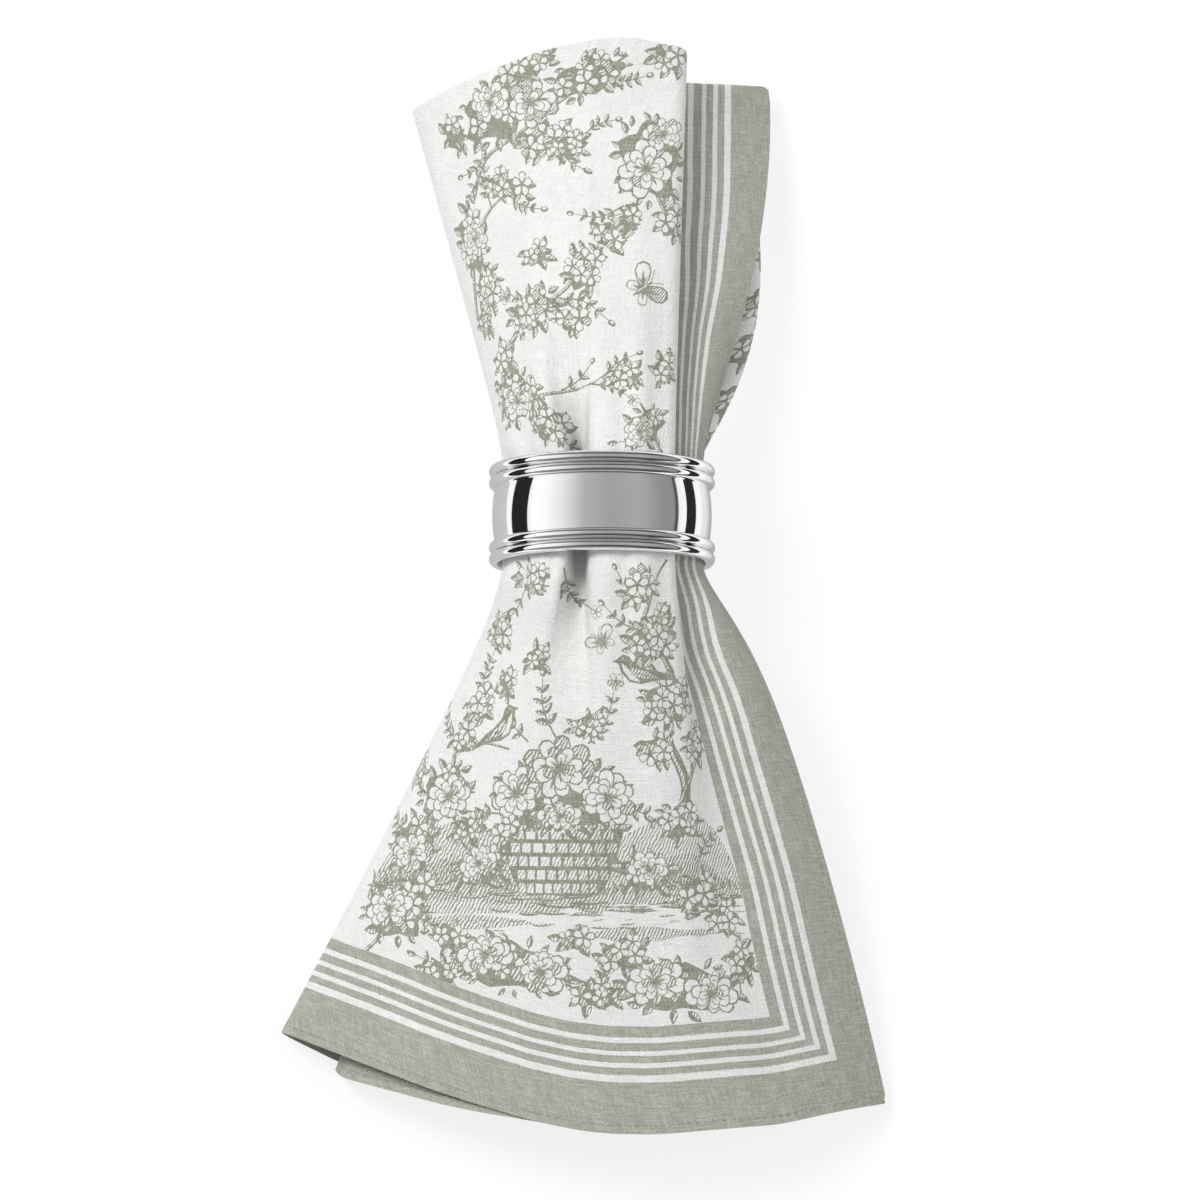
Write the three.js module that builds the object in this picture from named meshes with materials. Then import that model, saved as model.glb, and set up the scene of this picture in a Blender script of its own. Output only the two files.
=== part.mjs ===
// A folded cloth napkin drawn through a metal napkin ring, lying on its back on a table.
// Millimetres, +Z up. +X runs across the napkin and +Y from its hem towards its top fold.
// The napkin is one square sheet: folded in half, so that the half fold is its top end, then
// folded in from both sides, pleated, and pinched into the ring.
import * as THREE from 'three';

// Sizes of the ring
const RING_OUTER_DIAMETER = 47.6;
const RING_BORE_DIAMETER = 44;
const RING_WIDTH = 21;
const BEAD_RADIUS = 1.2;
const BEADS_AT_EACH_RIM = 2;
const BEAD_STEPS = 4;
const BAND_CROWN = 0.5;
const BAND_STEPS = 4;
const RING_SEGMENTS = 56;

// Sizes of the cloth
const SHEET_THICKNESS = 1;
const LAYER_OFFSET = 0.7; // from the middle of a doubled layer to the middle of either sheet
const REST = LAYER_OFFSET + SHEET_THICKNESS / 2; // middle of a doubled layer that lies on the table
const PINCH_HALF_LENGTH = 11; // the cloth keeps one section this far to each side of the ring's middle
const FAN_SOFTNESS = 0.08; // share of a side's length over which it bends out of the ring

// Where the origin lies, measured from the ring's middle
const ORIGIN_X = -3.74;
const ORIGIN_Y = -14.31;

// Fold lines of the doubled layer, in order along the section from the front's right hem.
// hem and top are the x, y, z of the line's two ends, waist its x and its height above or below
// the ring's axis. Optional columns: bow pushes the line sideways half-way down the skirt and
// the top, fold is the part of waist that a pleat or valley adds, fade how fast that part dies
// out down the skirt and up the top, settle how fast the line sinks away from the ring, land the
// share of the length at which it touches down, inner how far to the right and how much lower
// the inner sheet ends at the hem, and turn marks the first line of a tight turn.
const FOLD_LINES = [
  { name: 'right hem', hem: [59.4, -122.1, 1.6], waist: [20.2, 1.4], top: [35.4, 93.3, 3.6],
    bow: [5.7, 4.85], settle: 1 },
  { name: 'border band', hem: [50.5, -125.6, 11.5], waist: [18.8, 6.8], top: [31, 93.2, 12],
    bow: [5, 3.5], settle: 1.3 },
  { name: 'border inside', hem: [37, -128.4, 18.5], waist: [11.4, 8], top: [17.5, 92.6, 19.3],
    fold: [-6.4, 0.9], fade: [5, 1], settle: 1.9 },
  { name: 'pleat turn low', hem: [30, -129.4, 20.4], waist: [5.6, 7.8], top: [-5, 94, 19.7],
    fold: [-11.7, -0.2], fade: [10, 1], settle: 1.9, turn: true },
  { name: 'pleat turn high', hem: [26, -129.8, 21.2], waist: [6, 11.5], top: [-5, 95.5, 23],
    fold: [-10.5, 0.7], fade: [10, 1], settle: 1.7 },
  { name: 'pleat edge low', hem: [23, -130.2, 21.7], waist: [13.8, 11.8], top: [16.6, 98, 22.4],
    fold: [-1.8, -1.1], fade: [10, 1], settle: 1.5, turn: true },
  { name: 'pleat edge high', hem: [19.5, -130.5, 22], waist: [14.35, 14.9], top: [17.2, 99.5, 25.7],
    settle: 1.3 },
  { name: 'right lobe', hem: [12, -130.9, 22.6], waist: [6.5, 19.8], top: [6, 101.5, 26.8] },
  { name: 'right lip', hem: [6, -131, 22.8], waist: [-0.2, 20.2], top: [-2, 101, 26.6] },
  { name: 'valley right', hem: [1.5, -131, 22.8], waist: [-2.4, 8], top: [-6, 100, 26.1],
    fold: [0, -11.9], fade: [7, 9], turn: true },
  { name: 'valley left', hem: [-1.5, -131, 22.8], waist: [-5.3, 8.2], top: [-9, 99.5, 25.5],
    fold: [0, -11.3], fade: [7, 9] },
  { name: 'left lip', hem: [-7, -130.6, 22.6], waist: [-7.4, 19], top: [-13, 98.8, 24.2] },
  { name: 'left lobe', hem: [-33, -123.5, 18], waist: [-17.2, 11.4], top: [-28, 95, 15],
    inner: [3, 3] },
  { name: 'left fold high', hem: [-66.7, -107.8, 6.4], waist: [-20.4, -1], top: [-39.4, 90.8, 6],
    inner: [11, 9], turn: true },
  { name: 'left fold low', hem: [-66.7, -107.8, REST], waist: [-18.6, -9], top: [-39.4, 90.8, REST],
    inner: [11, 6], land: 0.6 },
  { name: 'back left', hem: [-50, -116, REST], waist: [-10.5, -18.6], top: [-26, 92, REST],
    inner: [2, 0], land: 0.4 },
  { name: 'back right', hem: [34, -119, REST], waist: [9.5, -19.2], top: [16, 91, REST],
    land: 0.4 },
  { name: 'right fold low', hem: [48, -117, REST], waist: [20, -6.4], top: [26.5, 90, REST],
    bow: [6.3, 8], settle: 2, land: 0.8, turn: true },
  { name: 'right fold high', hem: [48, -117, 4.4], waist: [17.6, -2], top: [26.5, 90, 4.4],
    bow: [6.3, 8], settle: 2, land: 0.8 },
  { name: 'inner left 1 low', hem: [-42, -112, 5.6], waist: [-11.6, -12.6], top: [-31, 89, 5.6],
    settle: 1.9, turn: true },
  { name: 'inner left 1 high', hem: [-42, -112, 8.6], waist: [-13.3, -9.6], top: [-31, 89, 8.7],
    settle: 1.9 },
  { name: 'inner right 1 low', hem: [32, -116, 9.5], waist: [11.4, -1.1], top: [23, 88, 9.4],
    settle: 1.8, turn: true },
  { name: 'inner right 1 high', hem: [32, -116, 12.5], waist: [10.6, 2], top: [23, 88, 12.4],
    settle: 1.7 },
  { name: 'inner left 2 low', hem: [-29, -113, 12.8], waist: [-16, -6.2], top: [-20, 88, 12.7],
    settle: 1.7, turn: true },
  { name: 'inner left 2 high', hem: [-29, -113, 15.8], waist: [-16.2, -3.1], top: [-20, 88, 15.7],
    settle: 1.7 },
  { name: 'inner hem', hem: [24, -115, 16.4], waist: [9.2, 4.5], top: [14, 87, 16.4],
    settle: 1.7 },
];

// Stations along the cloth: -2 at the hem, -1 and 1 at the ends of the pinch, 2 at the top fold
const STATIONS = [-2, -1.8, -1.62, -1.46, -1.34, -1.25, -1.17, -1.1, -1.04, -1, 0, 1, 1.04,
  1.1, 1.17, 1.27, 1.4, 1.58, 1.78, 2];
const TOP_FOLD_STEPS = 4;
const CORNER_STEPS = 2;
const LARGEST_ARC_SHARE = 0.42; // share of a leg that the arc at its end may take

// Softened ramp: level inside the pinch, then bending into a straight line that ends at 1
function fan(distance) {
  return (distance * distance * (1 + FAN_SOFTNESS)) / (distance + FAN_SOFTNESS);
}

// The point of one fold line at a station, for the outer or the inner sheet
function foldPoint(line, station, isInner) {
  const onSkirt = station < 0;
  const side = onSkirt ? 0 : 1;
  const [shift, drop] = isInner && onSkirt ? line.inner ?? [0, 0] : [0, 0];
  const end = onSkirt ? line.hem : line.top;
  const beyond = Math.max(Math.abs(station) - 1, 0);
  const within = Math.min(Math.abs(station), 1);
  const reach = Math.abs(end[1]) + drop - PINCH_HALF_LENGTH;
  const y = Math.sign(station) * (within * PINCH_HALF_LENGTH + beyond * reach);
  const out = fan(beyond);
  const left = Math.max(1 - out, 0);
  const [foldX, foldZ] = line.fold ?? [0, 0];
  const folded = left ** (line.fade ?? [1, 1])[side];
  const bow = (line.bow ?? [0, 0])[side] * 4 * out * (1 - out);
  const aloft = Math.max(1 - out / (line.land ?? 1), 0) ** (line.settle ?? 1.5);
  const endX = end[0] + shift;
  const waistZ = line.waist[1] + RING_OUTER_DIAMETER / 2;
  return new THREE.Vector3(
    endX + (line.waist[0] - foldX - endX) * left + foldX * folded + bow,
    y,
    end[2] + (waistZ - foldZ - end[2]) * aloft + foldZ * folded,
  );
}

// One section of the doubled layer: straight legs, with a quarter arc at every fold line
function sectionPoints(station, isInner) {
  const line = FOLD_LINES.map((each) => foldPoint(each, station, isInner));
  const points = [line[0].clone()];
  for (let i = 1; i < line.length - 1; i += 1) {
    const endsTurn = FOLD_LINES[i - 1].turn;
    const before = line[i - 1].clone().sub(line[i]);
    const after = line[i + 1].clone().sub(line[i]);
    const depth = Math.min(
      before.length() * (endsTurn ? 0.5 : LARGEST_ARC_SHARE),
      after.length() * (FOLD_LINES[i].turn ? 0.5 : LARGEST_ARC_SHARE),
    );
    before.setLength(depth);
    after.setLength(depth);
    for (let k = endsTurn ? 1 : 0; k <= CORNER_STEPS; k += 1) {
      const angle = ((Math.PI / 2) * k) / CORNER_STEPS;
      points.push(line[i].clone()
        .addScaledVector(before, 1 - Math.sin(angle))
        .addScaledVector(after, 1 - Math.cos(angle)));
    }
  }
  points.push(line[line.length - 1].clone());
  return points;
}

// Direction along a row or a column of the grid at one point, from its two neighbours
function direction(before, here, after) {
  const way = new THREE.Vector3();
  if (after) {
    way.add(after.clone().sub(here).normalize());
  }
  if (before) {
    way.add(here.clone().sub(before).normalize());
  }
  return way.normalize();
}

// Unit normals of a grid of points, to the outside of the folded napkin
function gridNormals(grid) {
  return grid.map((row, t) => row.map((point, s) => {
    const across = direction(row[s - 1], point, row[s + 1]);
    const along = direction(grid[t - 1]?.[s], point, grid[t + 1]?.[s]);
    return along.cross(across).normalize();
  }));
}

// The grid moved along its normals
function offsetGrid(grid, normals, distance) {
  return grid.map((row, t) => row.map((point, s) => (
    point.clone().addScaledVector(normals[t][s], distance))));
}

// The middle surface of the whole sheet: the outer sheet up to the top fold, round it, and the
// inner sheet down again
function sheetGrid() {
  const outerMiddle = STATIONS.map((station) => sectionPoints(station, false));
  const innerMiddle = STATIONS.map((station) => sectionPoints(station, true));
  const outerNormals = gridNormals(outerMiddle);
  const outer = offsetGrid(outerMiddle, outerNormals, LAYER_OFFSET);
  const inner = offsetGrid(innerMiddle, gridNormals(innerMiddle), -LAYER_OFFSET);
  const last = STATIONS.length - 1;
  const bend = [];
  for (let k = 1; k < TOP_FOLD_STEPS; k += 1) {
    const angle = (Math.PI * k) / TOP_FOLD_STEPS;
    bend.push(outerMiddle[last].map((point, s) => {
      const up = direction(outerMiddle[last - 1][s], point, null);
      return point.clone()
        .addScaledVector(outerNormals[last][s], LAYER_OFFSET * Math.cos(angle))
        .addScaledVector(up, LAYER_OFFSET * Math.sin(angle));
    }));
  }
  return [...outer, ...bend, ...inner.reverse()];
}

// A closed solid from a grid of points, with half the thickness to each side of it
function thickSheet(grid, thickness) {
  const normals = gridNormals(grid);
  const rows = grid.length;
  const columns = grid[0].length;
  const faces = [offsetGrid(grid, normals, thickness / 2), offsetGrid(grid, normals, -thickness / 2)];
  const positions = faces.flat(2).flatMap((point) => [point.x, point.y, point.z]);
  const index = [];
  const at = (face, t, s) => face * rows * columns + t * columns + s;
  const quad = (a, b, c, d) => index.push(a, b, c, a, c, d);
  for (let t = 0; t < rows - 1; t += 1) {
    for (let s = 0; s < columns - 1; s += 1) {
      const corners = [[t, s], [t + 1, s], [t + 1, s + 1], [t, s + 1]];
      if (t >= (rows - 1) / 2) {
        corners.push(corners.shift()); // the inner sheet is split as the outer one beside it is
      }
      const outside = corners.map(([row, column]) => at(0, row, column));
      const inside = corners.map(([row, column]) => at(1, row, column));
      quad(...outside);
      index.push(inside[0], inside[2], inside[1], inside[0], inside[3], inside[2]);
    }
  }
  for (let s = 0; s < columns - 1; s += 1) {
    quad(at(0, 0, s), at(0, 0, s + 1), at(1, 0, s + 1), at(1, 0, s));
    quad(at(0, rows - 1, s + 1), at(0, rows - 1, s), at(1, rows - 1, s), at(1, rows - 1, s + 1));
  }
  for (let t = 0; t < rows - 1; t += 1) {
    quad(at(0, t + 1, 0), at(0, t, 0), at(1, t, 0), at(1, t + 1, 0));
    quad(at(0, t, columns - 1), at(0, t + 1, columns - 1), at(1, t + 1, columns - 1),
      at(1, t, columns - 1));
  }
  const geometry = new THREE.BufferGeometry();
  geometry.setAttribute('position', new THREE.Float32BufferAttribute(positions, 3));
  geometry.setIndex(index);
  geometry.computeVertexNormals();
  return geometry;
}

// The ring's closed profile, as radius and height: the plain bore, and outside two round beads
// at each rim with a slightly crowned band between them
function ringProfile() {
  const bore = RING_BORE_DIAMETER / 2;
  const beadRadius = RING_OUTER_DIAMETER / 2 - BEAD_RADIUS;
  const rimHeight = RING_WIDTH / 2;
  const bandHeight = rimHeight - 2 * BEAD_RADIUS * BEADS_AT_EACH_RIM;
  const points = [new THREE.Vector2(bore, -rimHeight)];
  const addBeads = (lowest) => {
    for (let bead = 0; bead < BEADS_AT_EACH_RIM; bead += 1) {
      const centre = lowest + BEAD_RADIUS * (2 * bead + 1);
      for (let k = bead === 0 ? 0 : 1; k <= BEAD_STEPS; k += 1) {
        const angle = -Math.PI / 2 + (Math.PI * k) / BEAD_STEPS;
        points.push(new THREE.Vector2(beadRadius + BEAD_RADIUS * Math.cos(angle),
          centre + BEAD_RADIUS * Math.sin(angle)));
      }
    }
  };
  addBeads(-rimHeight);
  for (let k = 1; k < BAND_STEPS; k += 1) {
    const share = (2 * k) / BAND_STEPS - 1;
    points.push(new THREE.Vector2(beadRadius + BAND_CROWN * (1 - share * share), bandHeight * share));
  }
  addBeads(bandHeight);
  points.push(new THREE.Vector2(bore, rimHeight));
  points.push(points[0].clone());
  return points;
}

const napkin = new THREE.Mesh(
  thickSheet(sheetGrid(), SHEET_THICKNESS),
  new THREE.MeshStandardMaterial({ color: 0xdfe1d8, roughness: 0.92, metalness: 0 }),
);
napkin.name = 'napkin';

const ring = new THREE.Mesh(
  new THREE.LatheGeometry(ringProfile(), RING_SEGMENTS),
  new THREE.MeshStandardMaterial({ color: 0xd8d9db, roughness: 0.08, metalness: 1 }),
);
ring.name = 'ring';
ring.position.z = RING_OUTER_DIAMETER / 2;

const model = new THREE.Group();
model.position.set(-ORIGIN_X, -ORIGIN_Y, 0);
model.add(napkin);
model.add(ring);

export default model;
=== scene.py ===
"""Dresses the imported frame: a printed cloth napkin drawn through a polished metal ring."""
import logging
import math
from collections.abc import Sequence
from dataclasses import dataclass, field
from enum import Enum

import bpy
import numpy as np
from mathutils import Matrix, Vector
from mathutils.geometry import delaunay_2d_cdt


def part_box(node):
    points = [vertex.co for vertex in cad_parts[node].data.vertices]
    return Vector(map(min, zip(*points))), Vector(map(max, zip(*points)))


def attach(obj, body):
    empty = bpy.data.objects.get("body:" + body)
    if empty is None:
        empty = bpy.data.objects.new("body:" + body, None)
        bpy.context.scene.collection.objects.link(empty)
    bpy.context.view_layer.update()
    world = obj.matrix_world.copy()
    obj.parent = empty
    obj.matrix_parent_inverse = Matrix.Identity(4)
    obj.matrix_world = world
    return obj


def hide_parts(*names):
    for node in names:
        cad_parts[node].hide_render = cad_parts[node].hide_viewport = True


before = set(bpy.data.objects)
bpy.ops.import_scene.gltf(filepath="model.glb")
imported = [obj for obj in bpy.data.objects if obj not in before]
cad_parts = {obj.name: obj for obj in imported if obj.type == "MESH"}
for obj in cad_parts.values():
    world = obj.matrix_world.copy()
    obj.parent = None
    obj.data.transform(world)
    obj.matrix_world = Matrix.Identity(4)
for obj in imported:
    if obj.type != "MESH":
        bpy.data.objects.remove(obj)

LOG = logging.getLogger("napkin_in_ring")
MILLIMETRE = 0.001
# The ring's outer radius in mm, which is its axis's height above the table.
RING_RADIUS = 23.8
Array = np.ndarray
Pair = tuple[float, float]
Triple = tuple[float, float, float]
Colour = tuple[float, float, float, float]
Socket = bpy.types.NodeSocket


def unit(vectors: Array) -> Array:
    """Vectors along the last axis, each divided by its own length."""
    return vectors / np.maximum(np.linalg.norm(vectors, axis=-1, keepdims=True), 1e-12)


def smooth_step(values: Array, start: float, end: float) -> Array:
    """Rises from 0 at start to 1 at end along 3t^2 - 2t^3.

    Args:
        values: where it is worked out.
        start: value up to which the result is 0.
        end: value from which the result is 1.

    Returns:
        An array of the shape of values.
    """
    share = np.clip((values - start) / (end - start), 0.0, 1.0)
    return share * share * (3.0 - 2.0 * share)


def srgb(red: int, green: int, blue: int) -> Colour:
    """Turns 0-255 display values into linear ones: ((c + 0.055) / 1.055) ^ 2.4."""
    channels = [((c / 255.0 + 0.055) / 1.055) ** 2.4 for c in (red, green, blue)]
    return (channels[0], channels[1], channels[2], 1.0)


class NodeSheet:
    """A material's node tree, with short calls that add and join its nodes."""

    def __init__(self, name: str) -> None:
        """Makes the material and finds its shader."""
        self.material = bpy.data.materials.new(name)
        self.material.use_nodes = True
        self.tree = self.material.node_tree
        self.shader = self.tree.nodes["Principled BSDF"].inputs

    def node(self, kind: str, **settings: object) -> bpy.types.Node:
        """Adds a node of a kind and sets its named properties.

        Args:
            kind: the node's type name.
            settings: properties by name.

        Returns:
            The new node.
        """
        made = self.tree.nodes.new(kind)
        for name, value in settings.items():
            setattr(made, name, value)
        return made

    def join(self, source: object, socket: Socket) -> None:
        """Feeds a socket from another socket, or sets it to a plain value."""
        if isinstance(source, Socket):
            self.tree.links.new(source, socket)
        else:
            socket.default_value = source

    def finish(self, **sources: object) -> None:
        """Feeds or sets the shader's own sockets, named with _ for a space."""
        for name, source in sources.items():
            self.join(source, self.shader[name.replace("_", " ")])

    def place(self) -> Socket:
        """The place on the piece, in metres."""
        return self.node("ShaderNodeTexCoord").outputs["Object"]

    def stored(self, name: str, output: str = "Vector") -> Socket:
        """An attribute of the mesh."""
        return self.node("ShaderNodeAttribute", attribute_name=name).outputs[output]

    def split(self, vector: object) -> list[Socket]:
        """The three parts of a vector as sockets."""
        made = self.node("ShaderNodeSeparateXYZ")
        self.join(vector, made.inputs[0])
        return list(made.outputs)

    def maths(self, operation: str, *values: object, clamp: bool = False) -> Socket:
        """One arithmetic step on sockets or numbers.

        Args:
            operation: the Math node's operation.
            values: its inputs in order.
            clamp: whether the result is kept between 0 and 1.

        Returns:
            The socket with the result.
        """
        made = self.node("ShaderNodeMath", operation=operation, use_clamp=clamp)
        for value, socket in zip(values, made.inputs):
            self.join(value, socket)
        return made.outputs[0]

    def ramp(self, value: object, low: float, high: float,
             to_low: float = 0.0, to_high: float = 1.0) -> Socket:
        """Maps a value from one range to another, smoothly and clamped.

        Args:
            value: socket or number.
            low: value that becomes to_low.
            high: value that becomes to_high.
            to_low: result at low.
            to_high: result at high.

        Returns:
            The socket with the result.
        """
        made = self.node("ShaderNodeMapRange", interpolation_type="SMOOTHSTEP")
        for given, socket in zip((value, low, high, to_low, to_high), made.inputs):
            self.join(given, socket)
        return made.outputs[0]

    def under(self, distance: object, limit: float, soft: float = 0.05) -> Socket:
        """1 where the distance is under the limit and 0 past it, with an edge 2 soft wide."""
        return self.ramp(distance, limit - soft, limit + soft, 1.0, 0.0)

    def blend(self, share: object, first: object, second: object) -> Socket:
        """Mixes two colours: first at share 0, second at share 1.

        Args:
            share: socket or number from 0 to 1.
            first: socket or colour.
            second: socket or colour.

        Returns:
            The socket with the colour.
        """
        made = self.node("ShaderNodeMix", data_type="RGBA")
        self.join(share, made.inputs[0])
        self.join(first, made.inputs[6])
        self.join(second, made.inputs[7])
        return made.outputs[2]

    def scaled(self, vector: object, sizes: Triple) -> Socket:
        """A vector multiplied by one size for each axis."""
        made = self.node("ShaderNodeVectorMath", operation="MULTIPLY")
        self.join(vector, made.inputs[0])
        self.join(sizes, made.inputs[1])
        return made.outputs[0]

    def brightened(self, colour: object, share: object) -> Socket:
        """A colour multiplied by a share."""
        made = self.node("ShaderNodeVectorMath", operation="SCALE")
        self.join(colour, made.inputs[0])
        self.join(share, made.inputs["Scale"])
        return made.outputs[0]

    def noise(self, vector: object, scale: float, detail: float = 2.0,
              roughness: float = 0.5) -> Socket:
        """Soft random values around 0.5, one for each place.

        Args:
            vector: the place.
            scale: repeats for each unit of the place.
            detail: how many finer layers are added.
            roughness: weight of the finer layers.

        Returns:
            The socket with the value.
        """
        made = self.node("ShaderNodeTexNoise")
        self.join(vector, made.inputs["Vector"])
        made.inputs["Scale"].default_value = scale
        made.inputs["Detail"].default_value = detail
        made.inputs["Roughness"].default_value = roughness
        return made.outputs[0]


@dataclass(frozen=True)
class PrintedCloth:
    """Finish of the napkin: plain-weave cloth with a floral print and a striped border.

    It reads three attributes of the sheet: cloth (distance from the right hem and from the front
    hem, in mm), far (the same from the two other hems, and 1 on the reverse) and ink. A grain is
    how finely a noise varies across and along, in turns for each mm.
    """

    ground: Colour = srgb(233, 233, 231)
    ink: Colour = srgb(139, 141, 122)
    band: Colour = srgb(163, 167, 153)
    stripes: tuple[Pair, ...] = ((10.7, 12.2), (13.7, 14.75), (16.25, 17.2), (18.9, 20.05))
    border: float = 22.4
    border_wander: float = 0.22
    border_grain: Triple = (1.6, 1.6, 1.0)
    hem: float = 1.9
    stitch_turns: float = 3.4
    thread_pitch: float = 0.55
    thread_wander: float = 1.6
    wander_grain: Triple = (0.35, 0.35, 1.0)
    slub_grain: Pair = (2.4, 0.22)
    mottle_grain: Triple = (0.05, 0.05, 1.0)
    hatch_pitch: float = 0.75
    hatch_slant: float = 0.7
    hatch_gain: float = 1.42
    hatch_grain: Triple = (0.5, 0.5, 1.0)
    reverse_share: float = 0.94
    bump: Pair = (0.8, 0.22)

    def material(self) -> bpy.types.Material:
        """Builds the node tree.

        Returns:
            The material.
        """
        sheet = NodeSheet("printed_cloth")
        near, far = sheet.stored("cloth"), sheet.stored("far")
        near_parts, far_parts = sheet.split(near), sheet.split(far)
        across = sheet.maths("MINIMUM", near_parts[0], far_parts[0])
        along = sheet.maths("MINIMUM", near_parts[1], far_parts[1])
        edge = sheet.maths("MINIMUM", across, along)
        threads, height = self.weave(sheet, near)
        green = self.border_dye(sheet, near, edge)
        printed = sheet.maths("MULTIPLY", self.hatch(sheet, near, sheet.stored("ink", "Fac")),
                              sheet.maths("SUBTRACT", 1.0, sheet.under(edge, self.border)))
        dyed = sheet.maths("MULTIPLY", sheet.maths("MAXIMUM", green, printed),
                           sheet.ramp(threads, 0.15, 0.85, 1.05, 0.80))
        shown = sheet.maths("MULTIPLY", dyed,
                            sheet.ramp(far_parts[2], 0.4, 0.6, 1.0, self.reverse_share), clamp=True)
        colour = sheet.blend(shown, self.ground, sheet.blend(green, self.ink, self.band))
        mottle = sheet.noise(sheet.scaled(near, self.mottle_grain), 1.0, 3.0)
        tone = sheet.maths("MULTIPLY", sheet.ramp(threads, 0.05, 0.95, 0.90, 1.06),
                           sheet.ramp(mottle, 0.3, 0.7, 0.97, 1.02))
        raised = sheet.node("ShaderNodeBump")
        sheet.join(self.bump[0], raised.inputs["Strength"])
        sheet.join(self.bump[1] * MILLIMETRE, raised.inputs["Distance"])
        sheet.join(sheet.maths("ADD", height, self.stitches(sheet, across, along, edge)),
                   raised.inputs["Height"])
        sheet.finish(Base_Color=sheet.brightened(colour, tone), Normal=raised.outputs[0],
                     Roughness=0.86, Specular_IOR_Level=0.25, Sheen_Weight=0.12,
                     Sheen_Roughness=0.5)
        return sheet.material

    def border_dye(self, sheet: NodeSheet, place: Socket, edge: Socket) -> Socket:
        """Dye of the border: 1 from the hem to the border's width, less the white stripes.

        Each stripe is under its far limit less under its near one. The distances wander a little,
        as dye does along a thread.

        Args:
            sheet: the node tree.
            place: distance across and along, in mm.
            edge: distance from the nearest hem.

        Returns:
            How much dye the border has there, from 0 to 1.
        """
        ragged = sheet.noise(sheet.scaled(place, self.border_grain), 1.0, 1.0)
        distance = sheet.maths("MULTIPLY_ADD", ragged, self.border_wander,
                               sheet.maths("SUBTRACT", edge, self.border_wander / 2))
        bars: object = 0.0
        for start, end in self.stripes:
            bar = sheet.maths("SUBTRACT", sheet.under(distance, end), sheet.under(distance, start))
            bars = sheet.maths("ADD", bars, bar)
        return sheet.maths("SUBTRACT", sheet.under(distance, self.border), bars)

    def hatch(self, sheet: NodeSheet, place: Socket, ink: Socket) -> Socket:
        """Turns middle inks into engraved lines: gain x ink less a slanting sine wave from 0 to 1.

        Args:
            sheet: the node tree.
            place: distance across and along, in mm.
            ink: the ink share of the place.

        Returns:
            How much ink shows there, from 0 to 1.
        """
        parts = sheet.split(place)
        wander = sheet.maths("MULTIPLY", sheet.noise(sheet.scaled(place, self.hatch_grain), 1.0), 1.2)
        slant = sheet.maths("MULTIPLY_ADD", parts[1], self.hatch_slant,
                            sheet.maths("ADD", parts[0], wander))
        wave = sheet.maths("SINE", sheet.maths("MULTIPLY", slant, 2.0 * math.pi / self.hatch_pitch))
        level = sheet.maths("MULTIPLY_ADD", wave, 0.5, 0.5)
        strong = sheet.maths("MULTIPLY", ink, self.hatch_gain)
        return sheet.ramp(sheet.maths("SUBTRACT", strong, level), 0.0, 0.2)

    def weave(self, sheet: NodeSheet, place: Socket) -> tuple[Socket, Socket]:
        """Plain weave: sine threads both ways, uneven by noise drawn out along each thread.

        Args:
            sheet: the node tree.
            place: distance across and along, in mm.

        Returns:
            Brightness of the threads from 0 to 1, and their height.
        """
        fine, long = self.slub_grain
        uneven = sheet.maths("ADD", *(sheet.noise(sheet.scaled(place, grain), 1.0, 3.0, 0.7)
                                      for grain in ((fine, long, 1.0), (long, fine, 1.0))))
        wander = sheet.noise(sheet.scaled(place, self.wander_grain), 1.0, 1.0)
        waves = []
        for part in sheet.split(place)[:2]:
            shifted = sheet.maths("MULTIPLY_ADD", wander, self.thread_wander, part)
            waves.append(sheet.maths("SINE", sheet.maths("MULTIPLY", shifted,
                                                         math.pi / self.thread_pitch)))
        weave = sheet.maths("MULTIPLY", *waves)
        brightness = sheet.maths("MULTIPLY_ADD", weave, 0.10,
                                 sheet.maths("MULTIPLY_ADD", uneven, 1.5, -1.0))
        height = sheet.maths("MULTIPLY_ADD", weave, 0.18, sheet.maths("MULTIPLY", uneven, 1.3))
        return brightness, height

    def stitches(self, sheet: NodeSheet, across: Socket, along: Socket, edge: Socket) -> Socket:
        """Height of the hem: a step at the hem's width, with a dashed row of stitches beside it.

        Args:
            sheet: the node tree.
            across: distance from the nearer side hem.
            along: distance from the nearer end hem.
            edge: the smaller of the two.

        Returns:
            The height, as a share of the bump's distance.
        """
        step = sheet.ramp(edge, self.hem - 0.15, self.hem + 0.15, 1.6, 0.0)
        run = sheet.maths("MULTIPLY", sheet.maths("MAXIMUM", across, along), self.stitch_turns)
        dash = sheet.ramp(sheet.maths("SINE", run), -0.5, 0.2)
        off = sheet.maths("ABSOLUTE", sheet.maths("SUBTRACT", edge, self.hem - 0.35))
        seam = sheet.ramp(off, 0.08, 0.22, -1.0, 0.0)
        return sheet.maths("MULTIPLY_ADD", seam, dash, step)


@dataclass(frozen=True)
class PolishedMetal:
    """Finish of the ring: mirror-bright plating with the faintest polishing haze."""

    bright: Colour = (0.93, 0.93, 0.94, 1.0)
    duller: Colour = (0.88, 0.88, 0.90, 1.0)
    roughness: float = 0.045
    haze_grain: Triple = (260.0, 40.0, 260.0)

    def material(self) -> bpy.types.Material:
        """Builds the node tree.

        Returns:
            The material.
        """
        sheet = NodeSheet("polished_metal")
        place = sheet.place()
        haze = sheet.noise(sheet.scaled(place, self.haze_grain), 1.0, 3.0)
        tint = sheet.ramp(sheet.noise(place, 60.0, 1.0), 0.3, 0.7, 0.0, 0.35)
        sheet.finish(Metallic=1.0, Base_Color=sheet.blend(tint, self.bright, self.duller),
                     Roughness=sheet.ramp(haze, 0.3, 0.8, self.roughness, self.roughness * 1.9))
        return sheet.material


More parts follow.
